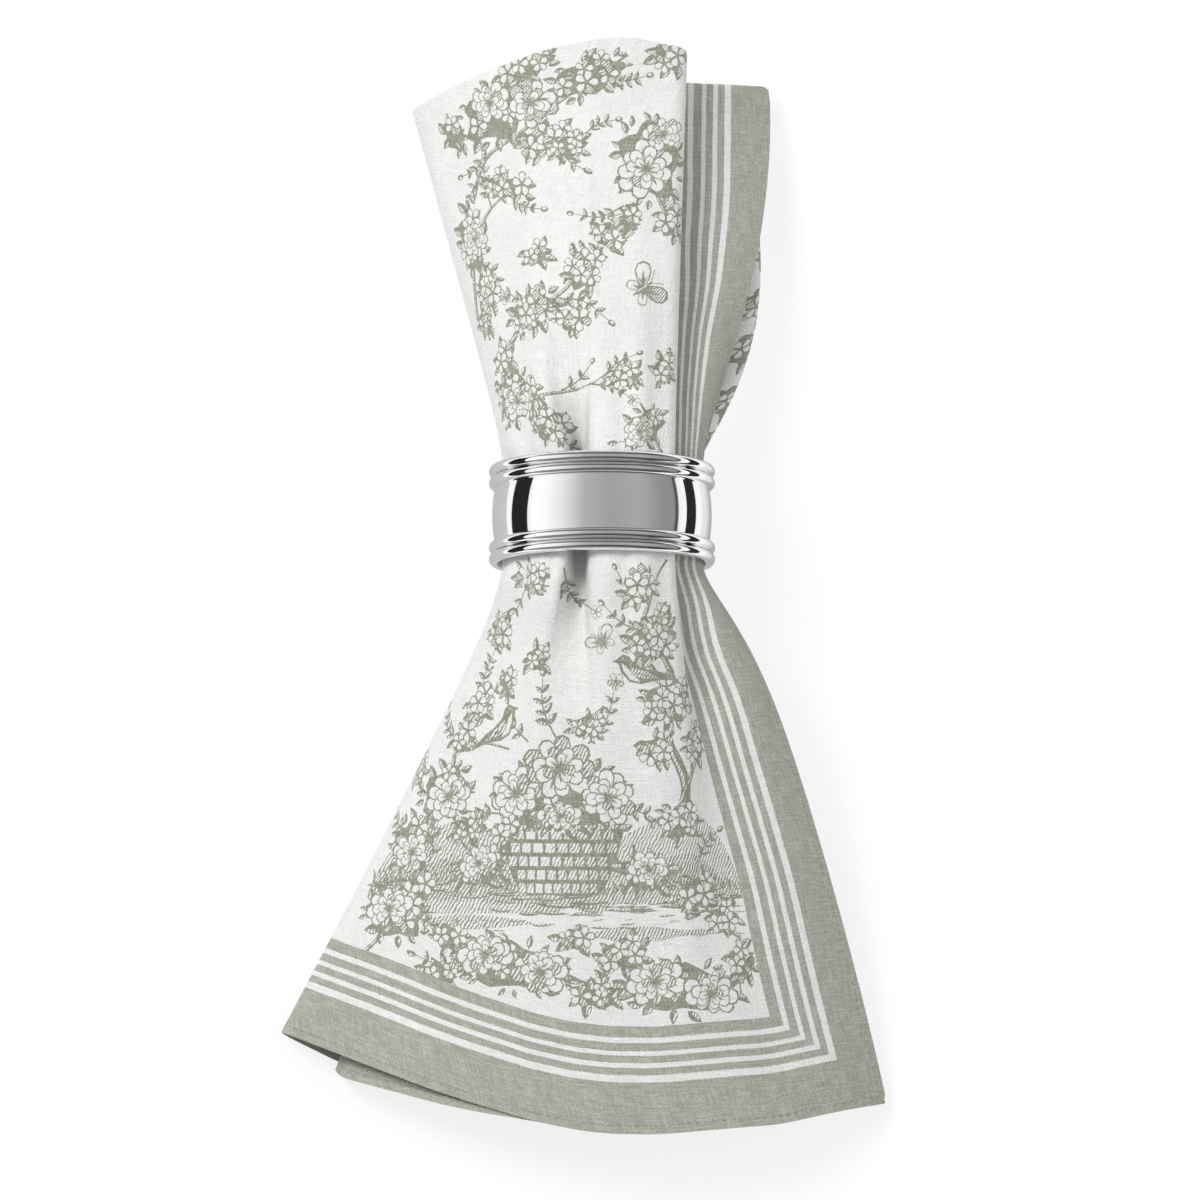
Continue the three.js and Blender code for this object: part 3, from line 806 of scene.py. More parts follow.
# Height of the sheet's folds where the cloth lies on the table: the outer layer's distance from
# them and half of its thickness.
REST = 1.2
FOLD_LINES: dict[str, FoldLine] = {
    "right hem": FoldLine((59.4, -122.1, 1.6), (20.2, 1.4), (35.2, 95.5, 3.6), bow=(2.1, 5.2),
                          flare=(7.8, 0.0), fold=(2.0, 0.0), fade=(1.0, 6.0), settle=1.0),
    "border band": FoldLine((50.5, -124.2, 9.4), (18.8, 6.8), (28.0, 94.6, 10.0), bow=(1.4, 3.8),
                            flare=(7.4, 0.0), fold=(1.2, 0.0), fade=(1.0, 6.0), settle=1.3, steps=6),
    "border inside": FoldLine((37.0, -127.7, 16.8), (11.4, 8.0), (17.5, 93.8, 16.4),
                              flare=(2.0, 0.0), fold=(-6.4, 0.9), fade=(5.0, 1.0), settle=1.9,
                              steps=6),
    "pleat turn low": FoldLine((30.0, -128.5, 20.4), (5.6, 7.8), (-5.0, 94.6, 18.9),
                               fold=(-11.7, -0.2), fade=(10.0, 1.0), settle=1.9, turn=True),
    "pleat turn high": FoldLine((26.0, -128.9, 21.2), (6.0, 11.5), (-5.0, 95.5, 23.0),
                                fold=(-10.5, 0.7), fade=(10.0, 1.0), settle=1.7),
    "pleat edge low": FoldLine((23.0, -129.2, 21.7), (13.8, 11.8), (16.6, 98.0, 22.4),
                               fold=(-1.8, -1.1), fade=(10.0, 1.0), settle=1.5, turn=True, steps=6),
    "pleat edge high": FoldLine((19.5, -129.5, 22.0), (14.35, 14.9), (17.2, 99.5, 25.7), settle=1.3,
                                steps=6),
    "right lobe": FoldLine((12.0, -130.2, 22.6), (6.5, 19.8), (6.0, 101.5, 26.8), steps=6),
    "right lip": FoldLine((3.0, -130.1, 22.8), (-1.5, 19.6), (0.0, 101.2, 26.7), crisp=0.5, steps=6),
    "valley right": FoldLine((-1.0, -129.8, 22.8), (-2.5, 8.0), (-4.0, 100.5, 26.3),
                             fold=(0.0, -11.9), fade=(7.0, 10.0), turn=True),
    "valley left": FoldLine((-5.0, -129.3, 22.7), (-6.5, 8.2), (-8.6, 99.8, 25.7),
                            fold=(0.8, -11.3), fade=(7.0, 10.0)),
    "left lip": FoldLine((-14.0, -127.4, 22.0), (-8.3, 18.4), (-14.0, 98.6, 24.0), fold=(4.0, 0.0),
                         fade=(12.0, 14.0), crisp=0.4, steps=6, spans=4),
    "left lobe": FoldLine((-33.0, -121.5, 18.0), (-17.2, 11.4), (-28.0, 95.0, 15.0),
                          inner=(3.0, 3.0), steps=9, spans=4),
    "left fold high": FoldLine((-66.7, -107.8, 6.4), (-20.4, -1.0), (-39.4, 90.8, 6.0),
                               inner=(11.0, 9.0), turn=True, steps=5),
    "left fold low": FoldLine((-66.7, -107.8, REST), (-18.6, -9.0), (-39.4, 90.8, REST),
                              inner=(11.0, 6.0), land=0.6, steps=5),
    "back left": FoldLine((-50.0, -116.0, REST), (-10.5, -18.6), (-26.0, 92.0, REST),
                          inner=(2.0, 0.0), land=0.4, steps=5, spans=5),
    "back right": FoldLine((34.0, -119.0, REST), (9.5, -19.2), (16.0, 91.0, REST), land=0.4,
                           steps=5),
    "right fold low": FoldLine((48.0, -117.0, REST), (20.0, -6.4), (26.5, 90.0, REST),
                               bow=(6.3, 8.0), fold=(-4.0, 0.0), fade=(1.0, 6.0), settle=2.0,
                               land=0.8, turn=True, steps=5),
    "right fold high": FoldLine((48.0, -117.0, 4.4), (17.6, -2.0), (26.5, 90.0, 4.4),
                                bow=(6.3, 8.0), fold=(-4.0, 0.0), fade=(1.0, 6.0), settle=2.0,
                                land=0.8, steps=5, spans=6),
    "inner left 1 low": FoldLine((-42.0, -112.0, 5.6), (-11.6, -12.6), (-31.0, 89.0, 5.6),
                                 settle=1.9, turn=True, steps=2),
    "inner left 1 high": FoldLine((-42.0, -112.0, 8.6), (-13.3, -9.6), (-31.0, 89.0, 8.7),
                                  settle=1.9, steps=2),
    "inner right 1 low": FoldLine((32.0, -116.0, 9.5), (11.4, -1.1), (22.0, 88.0, 8.0), settle=1.8,
                                  turn=True, steps=2),
    "inner right 1 high": FoldLine((32.0, -116.0, 12.5), (10.6, 2.0), (22.0, 88.0, 10.2),
                                   settle=1.7, steps=2),
    "inner left 2 low": FoldLine((-29.0, -113.0, 12.8), (-16.0, -6.2), (-20.0, 88.0, 11.4),
                                 settle=1.7, turn=True, steps=2),
    "inner left 2 high": FoldLine((-29.0, -113.0, 15.8), (-16.2, -3.1), (-20.0, 88.0, 13.6),
                                  settle=1.7, steps=2),
    "inner hem": FoldLine((24.0, -115.0, 16.4), (9.2, 4.5), (9.0, 87.0, 14.0), settle=1.7),
}


@dataclass(frozen=True)
class Crease:
    """A soft trough, or with a negative depth a ridge, that runs out of the ring over the front.

    waist and end are its x in mm at the ring and at the far end. It fades as left^reach, with left
    the share of the way still to go, and widens from width at the ring to three times that.
    """

    waist: float
    end: float
    depth: float
    width: float
    reach: float
    on_skirt: bool


CREASES: tuple[Crease, ...] = (
    Crease(-15.5, -46.0, 0.85, 1.6, 2.2, True), Crease(-12.4, -26.0, -0.9, 1.6, 2.6, True),
    Crease(-9.8, -20.0, 1.0, 1.7, 3.4, True), Crease(4.5, 9.0, 0.8, 1.3, 3.6, True),
    Crease(8.4, 20.0, -0.8, 1.5, 2.4, True), Crease(11.8, 24.0, 0.7, 1.2, 3.6, True),
    Crease(-18.0, -58.0, -1.0, 1.8, 1.8, True), Crease(1.0, 0.0, -0.6, 1.2, 4.0, True),
    Crease(-15.0, -24.0, 0.8, 1.4, 2.6, False), Crease(-11.5, -17.0, -0.8, 1.5, 3.2, False),
    Crease(-17.5, -32.0, -0.9, 1.6, 1.8, False), Crease(4.2, 3.0, 0.8, 1.3, 3.2, False),
    Crease(7.8, 9.0, -0.8, 1.5, 2.6, False), Crease(11.2, 13.5, 0.6, 1.1, 3.6, False),
    Crease(-9.6, -13.0, 0.7, 1.1, 5.0, False),
)
# Share of the way out, and how much longer the cloth is there than its folds: on the skirt across
# the plain band and across the stripes, then the same on the top.
GATHERS: tuple[tuple[float, ...], ...] = (
    (0.00, 2.15, 1.40, 2.30, 2.00), (0.04, 1.60, 1.25, 2.10, 1.95), (0.10, 1.15, 1.15, 1.85, 1.85),
    (0.20, 1.20, 1.05, 1.60, 1.70), (0.30, 1.15, 1.03, 1.44, 1.50), (0.42, 1.16, 1.00, 1.42, 1.22),
    (0.54, 1.16, 0.99, 1.29, 1.04), (0.66, 1.09, 0.94, 1.21, 0.98), (0.80, 1.03, 0.91, 1.08, 0.94),
    (1.00, 1.00, 0.91, 0.97, 0.88),
)


@dataclass
class SheetGrid:
    """The napkin's sheet as a lattice: one row for each station and one column across the folds.

    printed, reverse and normals are its two sides and their normal, across and along the
    distances in mm from the right and the front hem, and design the places of the print.
    """

    printed: Array
    reverse: Array
    normals: Array
    across: Array
    along: Array
    design: Array


@dataclass
class CutPrint:
    """The printed side cut along the print: places on the lattice, triangles and their ink.

    lattice_points gives the point made for each lattice point.
    """

    places: Array
    triangles: Array
    inks: Array
    lattice_points: Array

    def spread(self, values: Array) -> Array:
        """Values of a lattice [row, column, n] at the places, blended between its four corners.

        Args:
            values: one row of numbers for each lattice point.

        Returns:
            The numbers at each place.
        """
        rows, columns = values.shape[:2]
        i = np.clip(self.places[:, 0].astype(int), 0, columns - 2)
        j = np.clip(self.places[:, 1].astype(int), 0, rows - 2)
        f, g = (self.places[:, 0] - i)[:, None], (self.places[:, 1] - j)[:, None]
        low = values[j, i] * (1 - f) + values[j, i + 1] * f
        high = values[j + 1, i] * (1 - f) + values[j + 1, i + 1] * f
        return low * (1 - g) + high * g


@dataclass
class PrintCutter:
    """Cuts the sheet's lattice into triangles along the visible edges of the print."""

    design: Array
    margin: float = 0.05
    merge: float = 1e-6
    rounds: int = 7
    straight: float = 0.02

    def locate(self, points: Array) -> tuple[Array, Array]:
        """Lattice places of design points, found by solving for row and column in turn.

        Args:
            points: design places as complex numbers.

        Returns:
            Places as column and row, and whether each lies on the lattice.
        """
        rows, columns = self.design.shape[:2]
        each = np.arange(len(points))
        column = np.full(len(points), columns / 3)
        for _ in range(self.rounds):
            i = np.clip(column.astype(int), 0, columns - 2)
            f = column - i
            ups = self.design[:, i, 1] * (1 - f) + self.design[:, i + 1, 1] * f
            j = np.clip((ups < points.imag).sum(axis=0) - 1, 0, rows - 2)
            row = j + (points.imag - ups[j, each]) / (ups[j + 1, each] - ups[j, each])
            g = np.clip(row - j, 0.0, 1.0)[:, None]
            sides = self.design[j, :, 0] * (1 - g) + self.design[j + 1, :, 0] * g
            i = np.clip((sides > points.real[:, None]).sum(axis=1) - 1, 0, columns - 2)
            column = i + (points.real - sides[each, i]) / (sides[each, i + 1] - sides[each, i])
            column = np.clip(column, -1.0, columns)
        inside = ((column > self.margin) & (column < columns - 1 - self.margin)
                  & (row > self.margin) & (row < rows - 1 - self.margin))
        return np.stack([column, row], axis=-1), inside

    @staticmethod
    def sides(triangles: Array) -> tuple[Array, Array, Array]:
        """Pairs up the sides of triangles.

        Args:
            triangles: point numbers [n, 3], anticlockwise.

        Returns:
            The directed sides [3 n, 2], sorted so that the two of a pair are neighbours; the
            triangle of each; and the numbers of the first of each pair.
        """
        around = np.concatenate([triangles[:, [0, 1]], triangles[:, [1, 2]], triangles[:, [2, 0]]])
        owner = np.tile(np.arange(len(triangles)), 3)
        order = np.lexsort((around.max(axis=1), around.min(axis=1)))
        around, owner = around[order], owner[order]
        low, high = around.min(axis=1), around.max(axis=1)
        pairs = np.nonzero((low[1:] == low[:-1]) & (high[1:] == high[:-1]))[0]
        return around, owner, pairs

    def visible(self, art: FloralPrint) -> tuple[Array, Array, Array]:
        """Edges between different inks, after all the outlines are laid over each other.

        Args:
            art: the print.

        Returns:
            Points on the lattice, edges as pairs of points, and the inks left and right of each.
        """
        sizes = np.array([len(outline) for outline in art.outlines])
        places, inside = self.locate(np.concatenate(art.outlines))
        ends = np.cumsum(sizes)
        whole = [bool(inside[end - size:end].all()) for size, end in zip(sizes, ends)]
        faces = [list(range(end - size, end)) for size, end, ok in zip(sizes, ends, whole) if ok]
        inks = [ink for ink, ok in zip(art.inks, whole) if ok]
        faces = [self.anticlockwise(places, face) for face in faces]
        result = delaunay_2d_cdt([Vector(place) for place in places], [], faces, 0, self.merge)
        points = np.array([point[:] for point in result[0]])
        triangles = np.array(result[2])
        shades = np.array([inks[max(under)] if under else 0.0 for under in result[5]])
        around, owner, pairs = self.sides(triangles)
        left, right = shades[owner[pairs]], shades[owner[pairs + 1]]
        seen = left != right
        edges, shades = around[pairs[seen]], np.stack([left[seen], right[seen]], axis=-1)
        return points, *self.simplify(points, edges, shades)

    @staticmethod
    def anticlockwise(places: Array, face: list[int]) -> list[int]:
        """The outline's points in anticlockwise order on the lattice."""
        x, y = places[face, 0], places[face, 1]
        area = np.sum(x * np.roll(y, -1) - y * np.roll(x, -1))
        return face if area > 0 else face[::-1]

    def simplify(self, points: Array, edges: Array, shades: Array) -> tuple[Array, Array]:
        """Joins edges in line with each other, where nothing else meets them.

        Two edges are in line if the sine of the angle between them is under straight.

        Args:
            points: the points.
            edges: directed edges.
            shades: inks left and right of each.

        Returns:
            The fewer edges and their inks.
        """
        runs = [(int(a), int(b), tuple(inks)) for (a, b), inks in zip(edges, shades)]
        at_point: dict[int, list[int]] = {}
        for k, (a, b, _) in enumerate(runs):
            at_point.setdefault(a, []).append(k)
            at_point.setdefault(b, []).append(k)
        alive = [True] * len(runs)
        for point in list(at_point):
            if len(at_point[point]) != 2:
                continue
            first, second = at_point[point]
            if runs[first][1] != point:
                first, second = second, first
            if runs[first][1] != point or runs[second][0] != point:
                continue
            a, _, inks = runs[first]
            _, b, others = runs[second]
            if inks != others or a == b:
                continue
            before, after = points[point] - points[a], points[b] - points[point]
            turn = abs(before[0] * after[1] - before[1] * after[0])
            if turn > self.straight * math.hypot(*before) * math.hypot(*after):
                continue
            runs[first] = (a, b, inks)
            alive[second] = False
            at_point[b] = [first if k == second else k for k in at_point[b]]
            at_point[point] = []
        kept = [run for run, ok in zip(runs, alive) if ok]
        return np.array([run[:2] for run in kept]), np.array([run[2] for run in kept])

    def cut(self, art: FloralPrint) -> CutPrint:
        """Triangles between the lattice's points and the visible edges, each with its ink.

        Args:
            art: the print.

        Returns:
            The cut printed side.
        """
        rows, columns = self.design.shape[:2]
        points, edges, shades = self.visible(art)
        used, edges = np.unique(edges, return_inverse=True)
        edges = edges.reshape(-1, 2) + rows * columns
        across, up = np.meshgrid(np.arange(columns), np.arange(rows))
        lattice = np.stack([across.ravel(), up.ravel()], axis=-1)
        given = np.concatenate([lattice, points[used]])
        result = delaunay_2d_cdt([Vector(place) for place in given], edges.tolist(), [], 0,
                                 self.merge)
        places = np.array([point[:] for point in result[0]])
        triangles = np.array(result[2])
        borders: dict[tuple[int, int], float] = {}
        for (a, b), sources in zip(result[1], result[4]):
            if sources:
                start, end = edges[sources[0]]
                left, right = shades[sources[0]]
                if (places[b] - places[a]) @ (given[end] - given[start]) < 0:
                    left, right = right, left
                borders[(a, b)] = left
                borders[(b, a)] = right
        inks = self.flood(triangles, borders)
        lattice_points = np.zeros(rows * columns, int)
        for k, sources in enumerate(result[3]):
            for source in sources:
                if source < rows * columns:
                    lattice_points[source] = k
        LOG.info("print: %d outlines, %d visible edges", len(art.outlines), len(edges))
        return CutPrint(places, triangles, inks, lattice_points)

    def flood(self, triangles: Array, borders: dict[tuple[int, int], float]) -> Array:
        """Gives each patch of triangles between the edges the ink that most of its edges name.

        A patch takes the lowest triangle number in it, passed on between neighbours until it stays.

        Args:
            triangles: point numbers [n, 3].
            borders: ink left of each directed edge.

        Returns:
            The ink of each triangle.
        """
        around, owner, pairs = self.sides(triangles)
        known = np.array([borders.get((a, b), -1.0) for a, b in around.tolist()])
        free = pairs[known[pairs] < 0]
        one, other = owner[free], owner[free + 1]
        patch, before = np.arange(len(triangles)), np.array([])
        while not np.array_equal(patch, before):
            before = patch.copy()
            lowest = np.minimum(patch[one], patch[other])
            np.minimum.at(patch, one, lowest)
            np.minimum.at(patch, other, lowest)
            patch = patch[patch]
        levels = np.unique(known[known >= 0])
        votes = np.zeros((len(triangles), len(levels)))
        named = known >= 0
        np.add.at(votes, (patch[owner[named]], np.searchsorted(levels, known[named])), 1.0)
        return np.where(votes[patch].any(axis=1), levels[votes[patch].argmax(axis=1)], 0.0)


@dataclass
class FoldedNapkin:
    """The napkin's cloth, folded, pleated and pinched into the ring; sizes in mm.

    The outer and inner layer lie at their offsets from the folds, and pinch_half is half of the
    stretch along the ring where the folds run straight. crowding draws the rows towards the ring,
    and hem_rows are the distances of the first rows and columns from a hem.
    """

    ring_centre: Vector
    flat: float = 457.0
    thickness: float = 0.5
    outer_offset: float = 0.95
    inner_offset: float = 0.35
    pinch_half: float = 11.0
    softness: float = 0.08
    arc_share: float = 0.42
    skirt_rows: int = 40
    top_rows: int = 30
    inner_rows: int = 14
    bend_steps: int = 4
    crowding: float = 1.3
    gathered_band: float = 11.0
    gathered_stripes: float = 14.0
    gather_steps: int = 200
    gather_blur: int = 15
    corner_radius: float = 2.6
    ridge_start: float = 0.03
    hollow_depth: float = 0.25
    hem_rows: tuple[float, ...] = (0.0, 0.5, 1.2, 1.9, 2.5)
    skirt_length: float = 110.0
    last_row: float = 0.965
    picture_up: Pair = (0.99, 0.139)
    valley_share: float = 0.04
    front_strip: Pair = (0.004, 0.744)
    edge_strip: Pair = (0.747, 0.753)
    back_strip: Pair = (0.756, 0.996)
    strip_margin: float = 0.005

    def stations(self, skirt_rows: int, top_rows: int) -> Array:
        """Places along the cloth: -2 at the hem, -1 and 1 at the ring's rims, 2 at the top fold.

        The share of a side grows as its row number to the power of crowding, so rows crowd at the
        ring, and a few more stand close to the hem.

        Args:
            skirt_rows: rows from the hem to the ring.
            top_rows: rows from the ring to the top fold.

        Returns:
            The stations in order.
        """
        skirt = np.linspace(self.last_row, 0.0, skirt_rows) ** self.crowding
        top = np.linspace(0.0, 1.0, top_rows) ** self.crowding
        hem = 1.0 - np.array(self.hem_rows) / self.skirt_length
        return np.concatenate([-1.0 - hem, -1.0 - skirt, [0.0], 1.0 + top])

    def way_out(self, stations: Array) -> Array:
        """Share of the way out from the ring: d^2 (1 + s) / (d + s), with s the softness."""
        beyond = np.maximum(np.abs(stations) - 1.0, 0.0)
        return beyond * beyond * (1.0 + self.softness) / (beyond + self.softness)

    def fold_points(self, stations: Array, is_inner: bool) -> Array:
        """Every fold line's point at every station.

        With out as the share of the way out and left = 1 - out,
        x = end + (waist - fold - end) left + fold left^fade + bow 4 out (1 - out)
        + flare (left - left^10),
        z = end + (waist - fold - end) (1 - out / land)^settle + fold left^fade.

        Args:
            stations: places along the cloth.
            is_inner: whether it is for the inner of the two sheets.

        Returns:
            An array [station, line, xyz] in mm.
        """
        lines = list(FOLD_LINES.values())
        skirt = (stations < 0)[:, None]
        side = np.where(skirt, 0, 1)[:, 0]

        def column(name: str, part: int | None = None) -> Array:
            """One column of the table as an array."""
            values = [getattr(line, name) for line in lines]
            return np.array(values if part is None else [value[part] for value in values], float)

        def by_side(name: str) -> Array:
            """A pair column, taken for the skirt or for the top."""
            return np.stack([column(name, 0), column(name, 1)])[side]

        ends = [np.where(skirt, column("hem", k), column("top", k)) for k in range(3)]
        tucked = skirt & is_inner
        shift = np.where(tucked, column("inner", 0), 0.0)
        drop = np.where(tucked, column("inner", 1), 0.0)
        beyond = np.maximum(np.abs(stations) - 1.0, 0.0)[:, None]
        within = np.minimum(np.abs(stations), 1.0)[:, None]
        reach = np.abs(ends[1]) + drop - self.pinch_half
        y = np.sign(stations)[:, None] * (within * self.pinch_half + beyond * reach)
        out = self.way_out(stations)[:, None]
        left = np.maximum(1.0 - out, 0.0)
        faded = left ** by_side("fade")
        bow = by_side("bow") * 4.0 * out * (1.0 - out) + by_side("flare") * (left - left ** 10)
        aloft = np.maximum(1.0 - out / column("land"), 0.0) ** column("settle")
        end_x = ends[0] + shift
        fold_x, fold_z = column("fold", 0), column("fold", 1)
        waist_z = column("waist", 1) + self.ring_centre.z / MILLIMETRE
        x = end_x + (column("waist", 0) - fold_x - end_x) * left + fold_x * faded + bow
        z = ends[2] + (waist_z - fold_z - ends[2]) * aloft + fold_z * faded
        return np.stack([x, y, z], axis=-1)

    def section(self, lines: Array) -> tuple[Array, dict[str, int]]:
        """Rounds the back-and-forth line through the fold lines of every station.

        At each fold line a quarter arc P + before (1 - sin a) + after (1 - cos a), whose depth is
        a share of the shorter leg, and between the arcs a straight run in equal parts.

        Args:
            lines: fold points [station, line, xyz].

        Returns:
            Points [station, column, xyz], and the column at the middle of each fold line's arc.
        """
        names, table = list(FOLD_LINES), list(FOLD_LINES.values())
        legs = lines[:, 1:] - lines[:, :-1]
        sizes = np.linalg.norm(legs, axis=-1)
        ways = unit(legs)
        share = np.array([0.5 if line.turn else self.arc_share for line in table[:-1]])
        room = sizes * share
        columns = [lines[:, 0]]
        marks = {names[0]: 0}
        for i in range(1, len(table) - 1):
            depth = np.minimum(room[:, i - 1], room[:, i])[:, None] * table[i].crisp
            start = lines[:, i] - ways[:, i - 1] * depth
            if not table[i - 1].turn:
                if i == 1:
                    run = np.linalg.norm(start - columns[0], axis=-1, keepdims=True)
                    for distance in self.hem_rows[1:]:
                        part = np.minimum(distance, run * 0.8 * distance / self.hem_rows[-1])
                        columns.append(lines[:, 0] + ways[:, 0] * part)
                last, spans = columns[-1], table[i - 1].spans
                columns += [last + (start - last) * k / spans for k in range(1, spans + 1)]
            marks[names[i]] = len(columns) + table[i].steps // 2
            angles = np.pi / 2 * np.arange(1, table[i].steps + 1) / table[i].steps
            for angle in angles:
                columns.append(lines[:, i] - ways[:, i - 1] * depth * (1.0 - math.sin(angle))
                               + ways[:, i] * depth * (1.0 - math.cos(angle)))
        last, spans = columns[-1], table[-2].spans
        columns += [last + (lines[:, -1] - last) * k / spans for k in range(1, spans + 1)]
        return np.stack(columns, axis=1), marks

    @staticmethod
    def outward(grid: Array) -> Array:
        """Unit normals of a lattice: the way along crossed with the way across, at each point."""
        ways = []
        for axis in (0, 1):
            steps = unit(np.diff(grid, axis=axis))
            first = np.take(steps, [0], axis=axis)
            last = np.take(steps, [-1], axis=axis)
            before = np.concatenate([first, steps], axis=axis)
            after = np.concatenate([steps, last], axis=axis)
            ways.append(unit(before + after))
        return unit(np.cross(ways[0], ways[1]))

    def lattice(self) -> SheetGrid:
        """The sheet: the outer layer up to the top fold, round it, and the inner layer down.

        Returns:
            The lattice with its distances and design places.
        """
        outer_stations = self.stations(self.skirt_rows, self.top_rows)
        inner_stations = self.stations(self.inner_rows, self.inner_rows)
        outer_middle, marks = self.section(self.fold_points(outer_stations, False))
        inner_middle = self.section(self.fold_points(inner_stations, True))[0][::-1]
        outer_normals = self.outward(outer_middle)
        inner_normals = -self.outward(inner_middle)
        middle = (self.outer_offset + self.inner_offset) / 2
        radius = (self.outer_offset - self.inner_offset) / 2
        up = unit(outer_middle[-1] - outer_middle[-2])
        bend = []
        for k in range(1, self.bend_steps):
            angle = math.pi * k / self.bend_steps
            bend.append(outer_middle[-1] + outer_normals[-1] * (middle + radius * math.cos(angle))
                        + up * radius * math.sin(angle))
        depth = self.creases(outer_middle, outer_stations, marks)
        grid = np.concatenate([
            outer_middle + outer_normals * (self.outer_offset - depth)[..., None],
            np.stack(bend),
            inner_middle + inner_normals * self.inner_offset])
        normals = self.outward(grid)
        half = self.thickness / 2
        printed, reverse = grid + normals * half, grid - normals * half
        across = self.distances(printed, 1)
        along = self.distances(printed, 0)
        design = self.design_places(printed, marks, len(outer_stations))
        shift = self.rounded(grid, across, along, along[len(outer_stations) + 1, 0], -up) - grid
        printed, reverse = printed + shift, reverse + shift
        across += self.gathered(across, outer_stations)
        return SheetGrid(printed, reverse, normals, across, along, design)

    def creases(self, middle: Array, stations: Array, marks: dict[str, int]) -> Array:
        """Depth of all creases, each depth left^reach e^-((x - line) / width)^2, plus soft hollows.

        The hollows are hollow_depth sin(0.11 y + 1) sin(0.13 x + 2) sin(pi out^0.7). A ridge rises
        only outside the ring, over the first ridge_start of the way out.

        Args:
            middle: the outer layer's middle surface [row, column, xyz].
            stations: its rows' stations.
            marks: column of each fold line.

        Returns:
            The depth [row, column] in mm.
        """
        out = self.way_out(stations)[:, None]
        left = np.maximum(1.0 - out, 0.0)
        x, y = middle[..., 0], middle[..., 1]
        hollows = self.hollow_depth * np.sin(0.11 * y + 1.0) * np.sin(0.13 * x + 2.0)
        depth = hollows * np.sin(np.pi * out ** 0.7)
        for crease in CREASES:
            line = crease.waist + (crease.end - crease.waist) * out
            share = (x - line) / (crease.width * (1.0 + 2.0 * out))
            there = (stations < 0) == crease.on_skirt
            depth += crease.depth * left ** crease.reach * np.exp(-share ** 2) * there[:, None]
        free = smooth_step(np.abs(stations), 1.0, 1.0 + self.ridge_start)[:, None]
        depth = np.maximum(depth, 0.0) + np.minimum(depth, 0.0) * free
        column = np.arange(middle.shape[1])
        first, last = marks["pleat edge high"], marks["left fold high"]
        rises = smooth_step(column, first - 2, first + 4)
        return depth * rises * (1.0 - smooth_step(column, last - 4, last + 2))

    def gathered(self, across: Array, stations: Array) -> Array:
        """Extra cloth that fine gathers hold beside the hem, as added distance.

        It adds (k - 1) of the plain band's width and (l - 1) of the stripes' width, with k and l
        from the table of gathers, smoothed by a running mean of gather_blur steps.

        Args:
            across: distance from the right hem [row, column].
            stations: stations of the outer layer's rows.

        Returns:
            The added distance [row, column].
        """
        out, table = self.way_out(stations), np.array(GATHERS)
        fine = np.linspace(0.0, 1.0, self.gather_steps + 1)
        mean = np.ones(self.gather_blur) / self.gather_blur
        factors = []
        for on_skirt, on_top in ((1, 3), (2, 4)):
            sides = []
            for part in (on_skirt, on_top):
                drawn = np.interp(fine, table[:, 0], table[:, part])
                drawn = np.pad(drawn, self.gather_blur // 2, mode="edge")
                sides.append(np.interp(out, fine, np.convolve(drawn, mean, "valid")))
            factor = np.where(stations < 0, sides[0], sides[1])
            factors.append(np.pad(factor, (0, len(across) - len(factor)), mode="edge")[:, None])
        band = np.minimum(across, self.gathered_band / factors[0])
        stripes = np.clip(across - band, 0.0, self.gathered_stripes)
        return (factors[0] - 1.0) * band + (factors[1] - 1.0) * stripes

    def rounded(self, grid: Array, across: Array, along: Array, fold: float, down: Array) -> Array:
        """Rounds the sheet's corner and the ends of its top fold beside the right hem.

        With a and b as the nearness to the two edges, from 0 at the radius to 1 on the edge, a
        becomes a (1 - b^2 / 2)^0.5 and b becomes b (1 - a^2 / 2)^0.5.

        Args:
            grid: points [row, column, xyz].
            across: their distance from the right hem.
            along: their distance from the front hem.
            fold: the top fold's distance from the front hem.
            down: the way from the top fold to the ring at each column.

        Returns:
            The moved points.
        """
        inward, onward = [unit(np.gradient(grid, axis=axis)) for axis in (1, 0)]
        moved = grid.copy()
        for distance, way in ((along, onward), (np.abs(along - fold), down)):
            a = np.clip(1.0 - across / self.corner_radius, 0.0, 1.0)
            b = np.clip(1.0 - distance / self.corner_radius, 0.0, 1.0)
            step_across = (a - a * np.sqrt(1.0 - b * b / 2.0)) * self.corner_radius
            step_along = (b - b * np.sqrt(1.0 - a * a / 2.0)) * self.corner_radius
            moved += inward * step_across[..., None] + way * step_along[..., None]
        return moved

    @staticmethod
    def distances(grid: Array, axis: int) -> Array:
        """Distance from the first row or column of a lattice, summed point by point."""
        steps = np.linalg.norm(np.diff(grid, axis=axis), axis=-1)
        start = np.zeros_like(np.take(steps, [0], axis=axis))
        return np.concatenate([start, np.cumsum(steps, axis=axis)], axis=axis)

